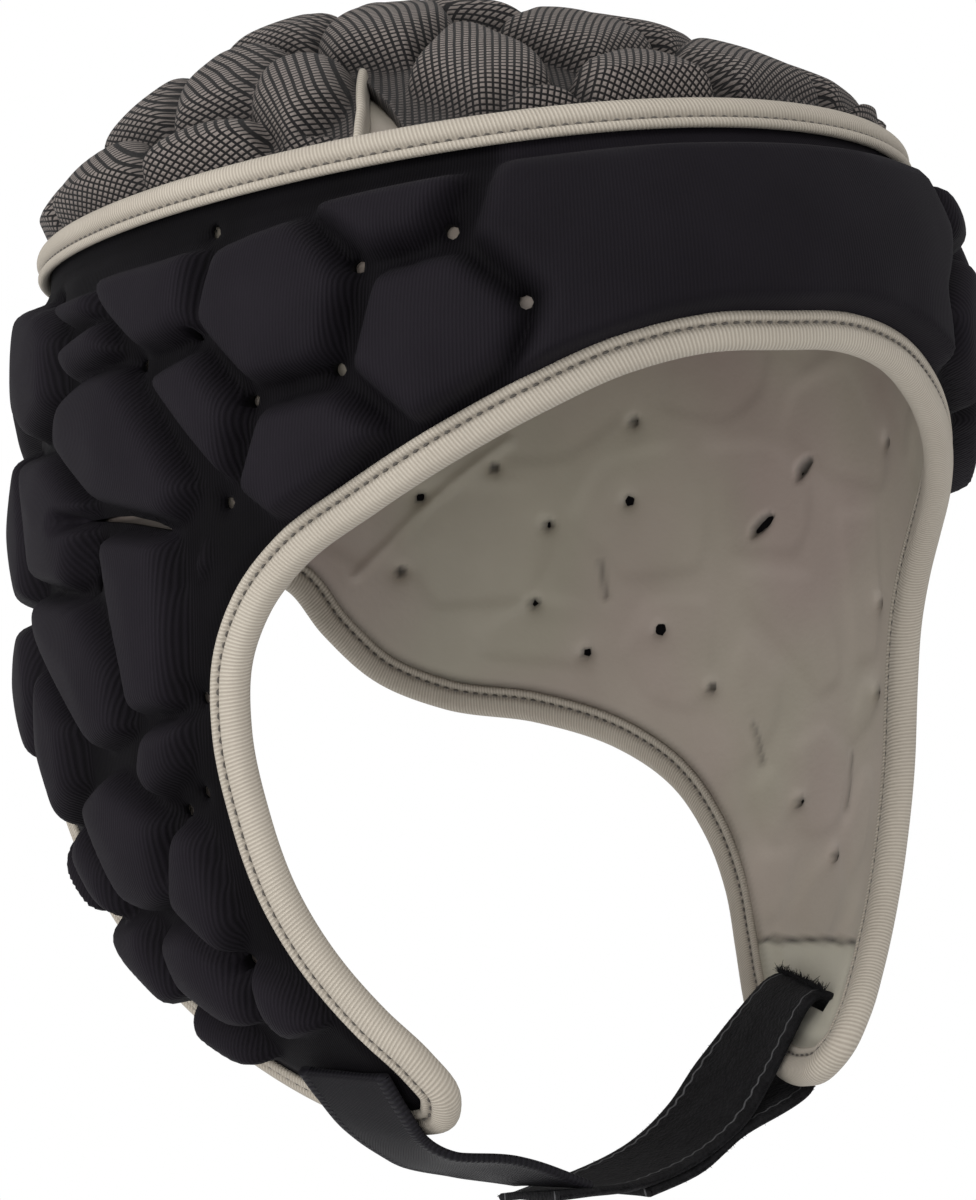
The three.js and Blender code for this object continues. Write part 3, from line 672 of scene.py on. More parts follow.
# The outline is closed well past the forehead, the back and the seam, so that only the lower
# edge is ever the nearest.
pastEnds = 40
pastSeam = 60
halfOutline = np.concatenate([halfOutline, [
    [backArc + pastEnds, halfOutline[-1, 1]],
    [backArc + pastEnds, pastSeam],
    [-pastEnds, pastSeam],
    [-pastEnds, halfOutline[0, 1]],
]])


# How far a place in the chart lies inside the lower edge.
def edgeDistance(arc, z):
    return outlineDistance(np.abs(arc), z, halfOutline)


# The band: angle round the head by rows from the seam down to the flap tips. Blurs and ripples
# are in grid steps. A flat rim lies under the binding, and a wider one on the left flap.
band = {
    "around": 640,
    "rows": 220,
    "pads": {"height": 5.4, "dome": 2.8, "domeReach": 7.0, "roll": 3.4, "power": 0.5, "spread": 0.9,
             "softness": 0.7},
    "panel": {"height": 4.2, "dome": 1.2, "roll": 4.0, "power": 0.6, "spread": 0.5, "halfReach": 62},
    "soften": 0.6,
    "bridge": {"around": 3.0, "along": 3.2, "drop": 5.6},
    "finish": 0.4,
    "rim": {"flat": 4.4, "rise": 3.6, "leftFlat": 9.0, "leftFrom": 104, "leftTo": 116},
    "seamFlat": 4.0,
    "seamRise": 4.4,
    "steepBlur": 1.9,
    "steepGain": 1.3,
    "ripples": [(9, 11, 0.12), (26, 30, 0.22)],
    "seamLine": {"drop": 8.2, "width": 0.8, "depth": 0.55, "from": 14, "full": 20, "fades": 74, "ends": 80},
    "tallest": 8.0,
    "fromEdge": 2.2,
}
bandAngles = -np.pi + 2 * np.pi * np.arange(band["around"]) / band["around"]
bandShares = np.linspace(0, 1, band["rows"])
angleGrid, shareGrid = np.meshgrid(bandAngles, bandShares, indexing="ij")
seamGrid = seamZ(angleGrid)
zGrid = seamGrid - (seamGrid + head["flapDepth"]) * shareGrid
arcGrid = toArc(angleGrid)
edgeGrid = edgeDistance(arcGrid, zGrid)
seamDrop = seamGrid - zGrid

# Corners of each pad: angle from the forehead and share of the flap depth.
bandPads = [
    [(68, 0.2), (58, 0.178), (51, 0.222), (53, 0.285), (62, 0.304), (69.5, 0.257)],
    [(47.5, 0.222), (39, 0.206), (31.5, 0.246), (34, 0.288), (43, 0.336), (50, 0.29)],
    [(56, 0.166), (38.5, 0.144), (42.5, 0.19), (48.5, 0.202)],
    [(61, 0.33), (52, 0.313), (47, 0.345), (58.5, 0.425), (64, 0.397)],
    [(77, 0.304), (70, 0.283), (64.5, 0.325), (66, 0.388)],
    [(88, 0.222), (71.5, 0.2), (71, 0.262), (79, 0.28), (87, 0.24)],
    [(100, 0.246), (89.5, 0.232), (89, 0.252), (95, 0.262)],
    [(97, 0.285), (87.5, 0.258), (85, 0.282), (93, 0.31)],
    [(118, 0.25), (104, 0.244), (99, 0.272), (100, 0.33), (107, 0.366), (118, 0.352)],
    [(89, 0.304), (83, 0.3), (77.5, 0.342), (71.5, 0.397), (73.5, 0.424), (87, 0.416), (97, 0.37),
     (96, 0.33)],
    [(111, 0.388), (100, 0.38), (91, 0.42), (91.5, 0.468), (94, 0.497), (106, 0.497)],
    [(86, 0.448), (75, 0.44), (73.5, 0.53), (74.5, 0.59), (81, 0.6), (84, 0.52)],
    [(105, 0.514), (91, 0.512), (85, 0.56), (83.5, 0.618), (89, 0.64), (94, 0.61), (104, 0.55)],
    [(70, 0.44), (66.5, 0.425), (70.5, 0.47), (71.5, 0.56), (73, 0.56)],
    [(73, 0.605), (74, 0.645), (78.5, 0.672), (80.5, 0.652), (79, 0.615)],
    [(104, 0.575), (96, 0.622), (96.5, 0.68), (102, 0.72), (106, 0.65)],
    [(87, 0.66), (78.5, 0.692), (79, 0.757), (83, 0.776), (88, 0.77), (93.5, 0.69)],
    [(96, 0.712), (91.5, 0.745), (90.5, 0.79), (95.5, 0.78), (100, 0.74)],
    [(104, 0.735), (100.5, 0.748), (97, 0.785), (98.5, 0.8), (103, 0.77)],
    [(95, 0.8), (87, 0.79), (84.5, 0.85), (88, 0.865), (94, 0.83)],
    [(84, 0.862), (77, 0.878), (75, 0.902), (79, 0.907), (85, 0.885)],
    [(76, 0.7), (74.5, 0.692), (72, 0.7), (70, 0.775), (72, 0.803), (78.5, 0.763)],
    [(83, 0.795), (77, 0.785), (73, 0.81), (71.5, 0.862), (76, 0.868), (83, 0.84)],
    [(69, 0.812), (65.5, 0.82), (62, 0.858), (67, 0.872), (69.5, 0.85)],
    [(147, 0.3), (123, 0.27), (122, 0.352), (132, 0.41), (146, 0.41), (152, 0.36)],
    [(177.5, 0.325), (154, 0.312), (157, 0.37), (161, 0.42), (177.5, 0.43)],
    [(127, 0.405), (116, 0.385), (110, 0.46), (111, 0.52), (124, 0.535), (132, 0.47)],
    [(155, 0.43), (138, 0.435), (134, 0.5), (138, 0.56), (152, 0.57), (158, 0.5)],
    [(176, 0.45), (163, 0.45), (162, 0.53), (167, 0.53), (172, 0.49), (176, 0.475)],
    [(120, 0.55), (110, 0.545), (108, 0.6), (111, 0.67), (119, 0.66), (124, 0.61)],
    [(135, 0.55), (129, 0.56), (127, 0.63), (145, 0.622), (146, 0.59)],
]
foreheadPanel = [(34.5, 0.05), (34.5, 0.135), (37, 0.19), (29.5, 0.235), (33, 0.3), (33, 0.4)]

bandVents = [(51, 0.21), (40, 0.182), (31.5, 0.238), (72, 0.266), (53, 0.294), (64, 0.322),
             (72, 0.178), (68, 0.411), (82, 0.294), (105, 0.24), (72, 0.584), (73, 0.668),
             (76.4, 0.687), (72, 0.818)]

# A pad is worked out only this near to its outline.
padMargin = 3
chartX = np.abs(arcGrid)
foamRise = np.zeros(arcGrid.shape)
for corners in bandPads:
    outline = chartOutline(corners)
    low = outline.min(0) - padMargin
    high = outline.max(0) + padMargin
    near = (chartX > low[0]) & (chartX < high[0]) & (zGrid > low[1]) & (zGrid < high[1])
    rise = padHeight(chartX[near], zGrid[near], outline, band["pads"])
    foamRise[near] = np.maximum(foamRise[near], rise)
panelHalf = chartOutline(foreheadPanel)
panelOutline = np.concatenate([panelHalf, panelHalf[::-1] * [-1, 1]])


def panelHeight(x, y):
    panel = band["panel"]
    inner = outlineDistance(x, y, panelOutline) + panel["spread"]
    t = np.clip(inner / panel["roll"], 0, 1)
    return panel["height"] * (1 - (1 - t) ** 2) ** panel["power"] + panel["dome"] * t


nearPanel = np.abs(arcGrid) < band["panel"]["halfReach"]
foamRise[nearPanel] = np.maximum(foamRise[nearPanel], panelHeight(arcGrid[nearPanel], zGrid[nearPanel]))

# The cloth rounds every shoulder and bridges the narrowest gaps between pads.
foamRise = blurred(foamRise, band["soften"], band["soften"], True)
bridge = blurred(foamRise, band["bridge"]["around"], band["bridge"]["along"], True)
foamRise = np.maximum(foamRise, bridge - band["bridge"]["drop"])
foamRise = blurred(foamRise, band["finish"], band["finish"], True)
rim = band["rim"]
lowLeft = smoothstep(-zGrid, rim["leftFrom"], rim["leftTo"]) * (angleGrid < 0)
flatRim = rim["flat"] + rim["leftFlat"] * lowLeft
settle = smoothstep(edgeGrid, flatRim, flatRim + rim["rise"])
settle = settle * smoothstep(seamDrop, band["seamFlat"], band["seamFlat"] + band["seamRise"])
steepness = np.hypot(np.gradient(foamRise, axis=0), np.gradient(foamRise, axis=1))
steepness = blurred(steepness, band["steepBlur"], band["steepBlur"], True)
steepness = np.clip(steepness * band["steepGain"], 0, 1)
bandHeight = layers["thinEdge"] + (layers["groove"] - layers["thinEdge"] + foamRise) * settle
for rows, columns, tall in band["ripples"]:
    bandHeight += noiseField(bandHeight.shape, rows, columns) * tall * settle

# A stitched line runs just under the crown binding, from the forehead panel to above the ear.
seamLine = band["seamLine"]
degreesAway = np.degrees(np.abs(angleGrid))
lineDepth = seamLine["depth"] * bell(seamDrop - seamLine["drop"], seamLine["width"])
lineDepth = lineDepth * smoothstep(degreesAway, seamLine["from"], seamLine["full"])
bandHeight -= lineDepth * smoothstep(-degreesAway, -seamLine["ends"], -seamLine["fades"])

# Openings through the band: round vents, and slits beside the ear pads given by their outlines.
vent = {"radius": 1.3, "dimple": 2.2, "dimpleReach": 2.4}
earSlits = [
    [(94, 0.437), (89, 0.431), (84, 0.428), (79, 0.4315), (75, 0.4395), (80, 0.4375), (85, 0.4355),
     (89, 0.436)],
    [(89.0, 0.449), (90.4, 0.453), (91.6, 0.478), (92.6, 0.505), (91.2, 0.5), (89.8, 0.478)],
]
slitEdge = {"height": 3.6, "reach": 1.6}
bandSlits = [chartOutline(corners) for corners in earSlits]


# Distance to the nearest opening of the band, negative within it.
def openingDistance(x, z):
    best = np.full(x.shape, np.inf)
    for angle, share in bandVents:
        away = np.hypot(x - toArc(math.radians(angle)), z + share * head["flapDepth"])
        best = np.minimum(best, away - vent["radius"])
    for outline in bandSlits:
        best = np.minimum(best, -outlineDistance(x, z, outline))
    return best


# Quads whose middle lies clear of an opening are kept. The corners that they share with dropped
# quads slide down the slope of the distance until it is nought, so the opening's rim is smooth.
def keepClear(x, z, distance):
    probe = 0.02
    gentlest = 0.3

    def middle(field):
        wide = np.concatenate([field, field[:1]])
        return (wide[:-1, :-1] + wide[1:, :-1] + wide[:-1, 1:] + wide[1:, 1:]) / 4

    def corners(quads):
        grid = np.zeros(x.shape, bool)
        grid[:, :-1] |= quads
        grid[:, 1:] |= quads
        return grid | np.roll(grid, 1, 0)

    keep = distance(middle(x), middle(z)) > 0
    rim = corners(keep) & corners(~keep)
    a = x[rim]
    b = z[rim]
    for attempt in range(2):
        gone = distance(a, b)
        slopeA = (distance(a + probe, b) - distance(a - probe, b)) / (2 * probe)
        slopeB = (distance(a, b + probe) - distance(a, b - probe)) / (2 * probe)
        size = np.maximum(slopeA**2 + slopeB**2, gentlest)
        a = a - gone * slopeA / size
        b = b - gone * slopeB / size
    x = x.copy()
    z = z.copy()
    x[rim] = a
    z[rim] = b
    return keep, x, z, rim


for angle, share in bandVents:
    away = np.hypot(chartX - toArc(math.radians(angle)), zGrid + share * head["flapDepth"])
    bandHeight -= vent["dimple"] * bell(away, vent["dimpleReach"]) * settle
for outline in bandSlits:
    away = np.maximum(-outlineDistance(chartX, zGrid, outline), 0)
    bandHeight -= np.clip(bandHeight - slitEdge["height"], 0, None) * bell(away, slitEdge["reach"])

# The slot in the left flap, which the strap goes through: quads wholly within it are dropped.
# The strap's own share is where it turns over the slot's upper side.
slot = {"angle": 69.0, "share": 0.9058, "halfAngle": 7.6, "halfHeight": 2.1, "strapShare": 0.907}


def slotQuads(angle, z):
    within = (np.abs(np.degrees(angle) + slot["angle"]) < slot["halfAngle"])
    within &= np.abs(z + slot["share"] * head["flapDepth"]) < slot["halfHeight"]
    within = within & np.roll(within, -1, 0)
    return within[:, :-1] & within[:, 1:]


bandKeepQuads, movedX, movedZ, bandRim = keepClear(chartX, zGrid, openingDistance)
bandKeep = edgeGrid > band["fromEdge"]
bandKeep = bandKeep & np.roll(bandKeep, -1, 0)
bandKeepQuads &= bandKeep[:, :-1] & bandKeep[:, 1:] & ~slotQuads(angleGrid, zGrid)
bandQuads = gridFaces(band["around"], band["rows"], True, bandKeepQuads)
movedAngle = np.where(bandRim, np.sign(arcGrid) * toAngle(movedX), angleGrid)
bandPoints = bandBase(movedAngle, movedZ)
bandOut = bandNormal(movedAngle, movedZ)
bandFront = bandPoints + bandOut * bandHeight[..., None]
bandBack = bandPoints + bandOut * layers["backing"]
bandUv = np.stack([arcGrid, zGrid], -1)
bandRise = np.clip(foamRise / band["tallest"], 0, 1)
paddedBand = addMesh(
    "padded_band_cloth",
    np.stack([bandFront.reshape(-1, 3), bandBack.reshape(-1, 3)]),
    shellFaces(bandQuads, bandFront.shape[0] * bandFront.shape[1]),
    blackCloth,
    np.stack([bandUv.reshape(-1, 2), bandUv.reshape(-1, 2)]),
    {"rise": np.stack([bandRise.ravel(), 0 * bandRise.ravel()]),
     "steep": np.stack([steepness.ravel(), 0 * steepness.ravel()])},
)
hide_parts("padded_band")
print("band made", len(paddedBand.data.polygons))

# The lining inside the band, with its air holes and creases as dents darkened by painted shade, and the
# faint print of the pads.
liningHoles = [(122, 78), (143, 89), (154, 96), (135, 102), (123, 96), (157, 113), (137, 120),
               (129, 131), (118, 125), (109, 137), (73, 80), (75, 114), (75, 133), (90, 159), (79, 168),
               (51, 47), (40, 41), (64, 70)]
liningSlits = [(93, 87, 3.8), (101, 100, 4.4)]
liningCreases = [[(127, 110), (126, 118)], [(101, 144), (98, 152)], [(79, 147), (78, 158)]]
liningRidge = [(141, 83), (147, 90), (154, 99), (159, 107), (164, 114)]
patchLine = {"angles": [56, 76, 88], "depths": [180, 185, 188]}
lining = {
    "around": 520,
    "rows": 180,
    "seamGap": 0.3,
    "fromEdge": 2.4,
    "ripples": [(30, 30, 0.35), (12, 12, 0.08)],
    "hole": {"depth": 1.6, "radius": 1.5, "dish": 0.5, "dishRadius": 4.0, "shadeRadius": 1.25},
    "slit": {"slope": 0.72, "halfWidth": 1.5, "depth": 1.5},
    "crease": {"depth": 0.7, "width": 0.75, "swell": 0.35, "swellWidth": 2.2, "shade": 0.5},
    "ridge": {"height": 0.95, "width": 1.1},
    "padPrint": 0.45,
    "patchSeam": {"wander": 0.22, "width": 0.62, "depth": 0.35, "shade": 0.95, "step": 0.3},
    "patchStitch": {"depth": 0.4, "fromEdge": 9.4, "width": 0.6},
    "tuck": {"depth": 0.5, "fromEdge": 5.0, "width": 1.1, "shade": 0.3},
    "behindSlit": {"above": 1.3, "shade": 0.9, "from": -1.6, "full": -0.6},
}


# Distance from each place to a bent line through the given angles and depths.
def lineDistance(x, z, stations):
    points = [(float(toArc(math.radians(a))), -depth) for a, depth in stations]
    best = np.full(x.shape, 1e6)
    for (ax, az), (bx, bz) in zip(points, points[1:]):
        ex = bx - ax
        ez = bz - az
        along = np.clip(((x - ax) * ex + (z - az) * ez) / (ex * ex + ez * ez), 0, 1)
        best = np.minimum(best, np.hypot(x - ax - along * ex, z - az - along * ez))
    return best


liningAngles = -np.pi + 2 * np.pi * np.arange(lining["around"]) / lining["around"]
lAngle, lShare = np.meshgrid(liningAngles, np.linspace(0, 1, lining["rows"]), indexing="ij")
lSeam = seamZ(lAngle)
lZ = lSeam - lining["seamGap"] - (lSeam + head["flapDepth"]) * lShare
lArc = np.abs(toArc(lAngle))
lEdge = edgeDistance(lArc, lZ)
liningHeight = np.zeros(lZ.shape)
for rows, columns, tall in lining["ripples"]:
    liningHeight += noiseField(lZ.shape, rows, columns) * tall
shade = np.zeros(lZ.shape)
hole = lining["hole"]
# Each air hole is a dent with a shallow dish round it, its middle filled with painted shade.
for angle, depth in liningHoles:
    away = np.hypot(lArc - toArc(math.radians(angle)), lZ + depth)
    liningHeight += hole["depth"] * bell(away, hole["radius"])
    liningHeight += hole["dish"] * bell(away, hole["dishRadius"])
    shade = np.maximum(shade, bell(away, hole["shadeRadius"], 4))

# Two short slanting slits, dents filled with painted shade, then creases darkened by painted shade
# along their folds, and a ridge. Creases, ridge and patch are on the left.
leftSide = lAngle < 0
slitLean = math.atan(lining["slit"]["slope"])
for angle, depth, half in liningSlits:
    dx = lArc - toArc(math.radians(angle))
    dz = lZ + depth
    along = (dx * math.cos(slitLean) - dz * math.sin(slitLean)) / half
    off = dx * math.sin(slitLean) + dz * math.cos(slitLean)
    wide = lining["slit"]["halfWidth"] * np.sqrt(np.clip(1 - along**2, 0.02, 1))
    cut = bell(off, wide, 4) * smoothstep(1.1 - np.abs(along), 0, 0.3)
    liningHeight += lining["slit"]["depth"] * cut
    shade = np.maximum(shade, cut)
crease = lining["crease"]
for stations in liningCreases:
    away = lineDistance(lArc, lZ, stations)
    fold = bell(away, crease["width"]) * leftSide
    liningHeight += crease["depth"] * fold
    liningHeight -= crease["swell"] * bell(away, crease["swellWidth"]) * leftSide
    shade = np.maximum(shade, crease["shade"] * fold)
away = lineDistance(lArc, lZ, liningRidge)
liningHeight -= lining["ridge"]["height"] * bell(away, lining["ridge"]["width"]) * leftSide
padPrint = np.zeros(lZ.shape)
for corners in bandPads:
    outline = chartOutline(corners)
    near = lArc > outline[:, 0].min() - padMargin
    near &= lArc < outline[:, 0].max() + padMargin
    inner = softDistance(lArc[near], lZ[near], outline, 0.5, 1.0)
    padPrint[near] = np.maximum(padPrint[near], smoothstep(inner, -1.0, 3.0))
liningHeight += lining["padPrint"] * padPrint

# The patch at the tip of the left flap, below a dark stitched line that wanders a little.
patchSeam = lining["patchSeam"]
lineArcs = [float(toArc(math.radians(a))) for a in patchLine["angles"]]
lineZ = np.interp(lArc, lineArcs, [-depth for depth in patchLine["depths"]])
lineZ = lineZ + noiseField(lZ.shape, 2.5, 60) * patchSeam["wander"]
patchMask = smoothstep(lineZ - lZ, -patchSeam["step"], patchSeam["step"]) * leftSide
stitched = bell(lineZ - lZ, patchSeam["width"]) * leftSide
shade = np.maximum(shade, stitched * patchSeam["shade"])
liningHeight += patchSeam["depth"] * stitched - patchSeam["step"] * patchMask
patchStitch = lining["patchStitch"]
patchRim = bell(lEdge - patchStitch["fromEdge"], patchStitch["width"])
liningHeight += patchStitch["depth"] * patchRim * patchMask

# Through the ear slit only a sliver of the lining shows light; the rest of the right flap's lining there is
# painted deep shade.
behind = lining["behindSlit"]
slitAbove = outlineDistance(lArc, lZ + behind["above"], bandSlits[0])
deepShade = behind["shade"] * smoothstep(slitAbove, behind["from"], behind["full"])
shade = np.maximum(shade, deepShade * (lAngle > 0))

# The lining is tucked in under the edge binding, with painted shade along the tuck.
tuck = lining["tuck"]
tucked = bell(lEdge - tuck["fromEdge"], tuck["width"])
liningHeight += tuck["depth"] * tucked
shade = np.maximum(shade, tuck["shade"] * tucked)
lPoints = bandBase(lAngle, lZ)
lFront = lPoints + bandNormal(lAngle, lZ) * liningHeight[..., None]
lKeep = lEdge > lining["fromEdge"]
lKeepQuads = lKeep & np.roll(lKeep, -1, 0)
lKeepQuads = lKeepQuads[:, :-1] & lKeepQuads[:, 1:] & ~slotQuads(lAngle, lZ)
lQuads = gridFaces(lining["around"], lining["rows"], True, lKeepQuads)[:, ::-1]
bandLining = addMesh(
    "band_lining_skin", lFront, lQuads, foam, np.stack([lArc, lZ], -1),
    {"patch": patchMask, "shade": shade},
)
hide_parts("band_lining")
print("lining made", len(bandLining.data.polygons))

# The crown: pads in a flat chart of the true distance from the crown's centre. Blurs and
# ripples are in grid steps.
crown = {
    "around": 640,
    "rows": 116,
    "pads": {"height": 6.2, "dome": 1.7, "domeReach": 7.0, "roll": 6.2, "power": 0.56, "spread": 2.4,
             "softness": 1.3},
    "soften": (0.6, 0.7),
    "bridge": {"around": 2.3, "along": 2.8, "drop": 4.2},
    "seamFlat": 2.2,
    "seamFull": 6.0,
    "ripple": (14, 12, 0.2),
    "slitEdge": {"height": 0.8, "reach": 2.0},
    "netPull": 1.1,
    "tallest": 8.0,
}
crownAngles = -np.pi + 2 * np.pi * np.arange(crown["around"]) / crown["around"]
crownShares = np.linspace(0, 1, crown["rows"])
cAngle, cShare = np.meshgrid(crownAngles, crownShares, indexing="ij")
crownPoints = crownBase(cAngle, cShare)
crownSteps = np.linalg.norm(np.diff(crownPoints, axis=1), axis=-1)
crownReach = np.concatenate([np.zeros((crown["around"], 1)), np.cumsum(crownSteps, 1)], 1)


def crownChart(angleDegrees, share):
    angle = math.radians((angleDegrees + 180) % 360 - 180)
    i = int(round((angle + np.pi) / (2 * np.pi) * crown["around"])) % crown["around"]
    reach = float(np.interp(share, crownShares, crownReach[i]))
    return (reach * math.sin(angle), reach * math.cos(angle))


crownX = crownReach * np.sin(cAngle)
crownY = crownReach * np.cos(cAngle)
crownPads = [
    [(19, 0.99), (20, 0.87), (9, 0.78), (2, 0.82), (1, 0.99)],
    [(34, 0.995), (31, 0.95), (24, 0.95), (21, 0.99)],
    [(46, 0.78), (39, 0.5), (30, 0.53), (24, 0.79), (26, 0.9), (36, 0.94)],
    [(24, 0.48), (5, 0.35), (-14, 0.31), (-22, 0.49), (-4, 0.7), (12, 0.75)],
    [(-8, 0.74), (-26, 0.62), (-31, 0.76), (-26, 0.92), (-6, 0.95)],
    [(-4, 0.995), (-10, 0.97), (-26, 0.965), (-30, 0.995)],
    [(78, 0.46), (100, 0.22), (40, 0.13), (38, 0.42), (50, 0.58), (67, 0.56)],
    [(72, 0.82), (78, 0.66), (71, 0.61), (62, 0.66), (58, 0.84), (62, 0.94)],
    [(66, 0.995), (63, 0.965), (56, 0.97), (53, 0.995)],
    [(87, 0.83), (101, 0.68), (108, 0.54), (86, 0.52), (76, 0.78)],
    [(85, 0.99), (86, 0.9), (78, 0.86), (69, 0.89), (68, 0.985)],
    [(111, 0.985), (111, 0.87), (98, 0.83), (89, 0.91), (88, 0.985)],
    [(128, 0.8), (124, 0.6), (110, 0.62), (98, 0.78), (112, 0.83)],
    [(120, 0.54), (128, 0.3), (96, 0.28), (86, 0.47), (108, 0.5)],
    [(134, 0.985), (134, 0.87), (127, 0.84), (114, 0.88), (114, 0.985)],
    [(156, 0.985), (156, 0.88), (148, 0.84), (138, 0.87), (137, 0.985)],
    [(178, 0.985), (178, 0.88), (168, 0.84), (159, 0.88), (159, 0.985)],
    [(153, 0.8), (150, 0.6), (134, 0.57), (130, 0.8), (140, 0.83)],
    [(178, 0.8), (178, 0.6), (160, 0.58), (156, 0.8), (167, 0.83)],
    [(150, 0.54), (160, 0.27), (136, 0.26), (126, 0.5)],
    [(-34, 0.995), (-35, 0.95), (-46, 0.94), (-50, 0.995)],
    [(-34, 0.91), (-38, 0.66), (-48, 0.62), (-54, 0.76), (-50, 0.92)],
    [(-27, 0.58), (-26, 0.42), (-48, 0.24), (-66, 0.44), (-50, 0.57)],
    [(-54, 0.985), (-55, 0.88), (-62, 0.84), (-70, 0.89), (-71, 0.985)],
    [(-60, 0.8), (-58, 0.6), (-70, 0.5), (-78, 0.62), (-76, 0.82), (-68, 0.84)],
    [(-75, 0.985), (-76, 0.88), (-84, 0.85), (-92, 0.89), (-92, 0.985)],
    [(-82, 0.82), (-82, 0.62), (-92, 0.55), (-104, 0.66), (-100, 0.82), (-91, 0.84)],
    [(-78, 0.56), (-74, 0.26), (-112, 0.24), (-112, 0.5), (-95, 0.5)],
    [(-96, 0.985), (-97, 0.88), (-104, 0.85), (-113, 0.88), (-113, 0.985)],
    [(-106, 0.82), (-108, 0.6), (-120, 0.56), (-128, 0.62), (-126, 0.82), (-116, 0.84)],
    [(-117, 0.985), (-117, 0.87), (-126, 0.85), (-134, 0.87), (-135, 0.985)],
    [(-138, 0.985), (-138, 0.87), (-148, 0.84), (-156, 0.88), (-156, 0.985)],
    [(-159, 0.985), (-159, 0.88), (-168, 0.84), (-178, 0.88), (-178, 0.985)],
    [(-131, 0.8), (-134, 0.58), (-150, 0.6), (-153, 0.8), (-142, 0.83)],
    [(-156, 0.8), (-158, 0.58), (-178, 0.6), (-178, 0.8), (-167, 0.83)],
    [(-119, 0.5), (-120, 0.26), (-152, 0.26), (-148, 0.54), (-132, 0.52)],
    [(20, 0.12), (-30, 0.22), (-100, 0.14), (-160, 0.18), (150, 0.14), (80, 0.12)],
    [(-154, 0.54), (-162, 0.25), (168, 0.25), (168, 0.52), (-176, 0.54)],
]
crownRise = np.zeros(crownX.shape)
for corners in crownPads:
    outline = np.array([crownChart(a, share) for a, share in corners])
    low = outline.min(0) - padMargin
    high = outline.max(0) + padMargin
    near = (crownX > low[0]) & (crownX < high[0]) & (crownY > low[1]) & (crownY < high[1])
    rise = padHeight(crownX[near], crownY[near], outline, crown["pads"])
    crownRise[near] = np.maximum(crownRise[near], rise)
crownRise = blurred(crownRise, *crown["soften"], True)
bridge = blurred(crownRise, crown["bridge"]["around"], crown["bridge"]["along"], True)
crownRise = np.maximum(crownRise, bridge - crown["bridge"]["drop"])
crownDrop = crownReach[:, -1:] - crownReach
crownSettle = smoothstep(crownDrop, crown["seamFlat"], crown["seamFull"])
crownHeight = layers["thinEdge"] + (layers["groove"] - layers["thinEdge"] + crownRise) * crownSettle
rows, columns, tall = crown["ripple"]
crownHeight += noiseField(crownHeight.shape, rows, columns) * tall * crownSettle

# The open slit: a narrow wedge from the seam up to a point.
slitStations = [(58.5, 0.66), (54.5, 0.86), (53, 1.0), (46, 1.0), (50, 0.84)]
slitOutline = np.array([crownChart(a, s) for a, s in slitStations])


def crownOpening(x, y):
    return -outlineDistance(x, y, slitOutline)


slitAway = crownOpening(crownX, crownY)
crownHeight += crown["slitEdge"]["height"] * bell(slitAway, crown["slitEdge"]["reach"])
crownKeepQuads, movedX, movedY, crownRim = keepClear(crownX, crownY, crownOpening)
rowStep = np.concatenate([crownSteps, crownSteps[:, -1:]], 1)
movedShare = cShare + (np.hypot(movedX, movedY) - crownReach) * crownShares[1] / rowStep
movedShare = np.where(crownRim, np.clip(movedShare, 0, 1), cShare)
movedAngle = np.where(crownRim, np.arctan2(movedX, movedY), cAngle)
crownPoints = crownBase(movedAngle, movedShare)
crownOut = crownNormal(movedAngle, movedShare)
crownFront = crownPoints + crownOut * crownHeight[..., None]
crownBack = crownPoints + crownOut * layers["backing"]
# The net lies over the pads, so its pattern is pulled inwards where a pad stands up.
netReach = crownReach - crown["netPull"] * (crownHeight - layers["thinEdge"])
crownUv = np.stack([netReach * np.sin(cAngle), netReach * np.cos(cAngle)], -1)
crownPad = addMesh(
    "crown_net_pad",
    np.stack([crownFront.reshape(-1, 3), crownBack.reshape(-1, 3)]),
    shellFaces(gridFaces(crown["around"], crown["rows"], True, crownKeepQuads)[:, ::-1], crownX.size),
    net,
    np.stack([crownUv.reshape(-1, 2), crownUv.reshape(-1, 2)]),
    {"rise": np.stack([(crownRise / crown["tallest"]).ravel(), 0 * crownRise.ravel()])},
)
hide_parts("crown_pad")
print("crown made", len(crownPad.data.polygons))

# The cut edge of the slit: a folded lip of beige tape that stands along its rear side.
# Shares are weighed like degrees while its stations are spaced.
lipWeights = [1, 60]
lipStations = np.array([slitStations[2], slitStations[1], slitStations[0]], float)
lipFine = evenly(lipStations * lipWeights, 1.0, False) / lipWeights
lipAngle = np.radians(lipFine[:, 0])
lipPoint = crownBase(lipAngle, lipFine[:, 1])
lipOut = crownNormal(lipAngle, lipFine[:, 1])
lipAlong = unit(np.gradient(lipPoint, axis=0))
lipAcross = unit(np.cross(lipAlong, lipOut))
lipMiddle = crownBase(np.radians(np.array(52.5)), np.array(0.88))

# Across points away from the lip, over the opening.
if np.sum(lipAcross[2] * (lipMiddle - lipPoint[2])) < 0:
    lipAcross = -lipAcross
lipProfile = closedSpline([
    (2.0, -0.1), (4.6, -0.15), (6.1, -0.05), (6.8, 0.6), (6.5, 1.4), (5.6, 1.7), (3.8, 1.6), (2.0, 1.4),
], 0.4)
lipUv = np.stack(np.meshgrid(np.arange(len(lipPoint)) * 1.0, np.linspace(0, 12, len(lipProfile) + 1),
                             indexing="ij"), -1)
lipGrid = sweptGrid(lipPoint, lipOut, lipAcross, lipProfile)
slitLip = sweptPiece("crown_slit_lip", lipGrid, tape, False, lipUv, 0 * lipProfile[:, 0])
orient(slitLip)

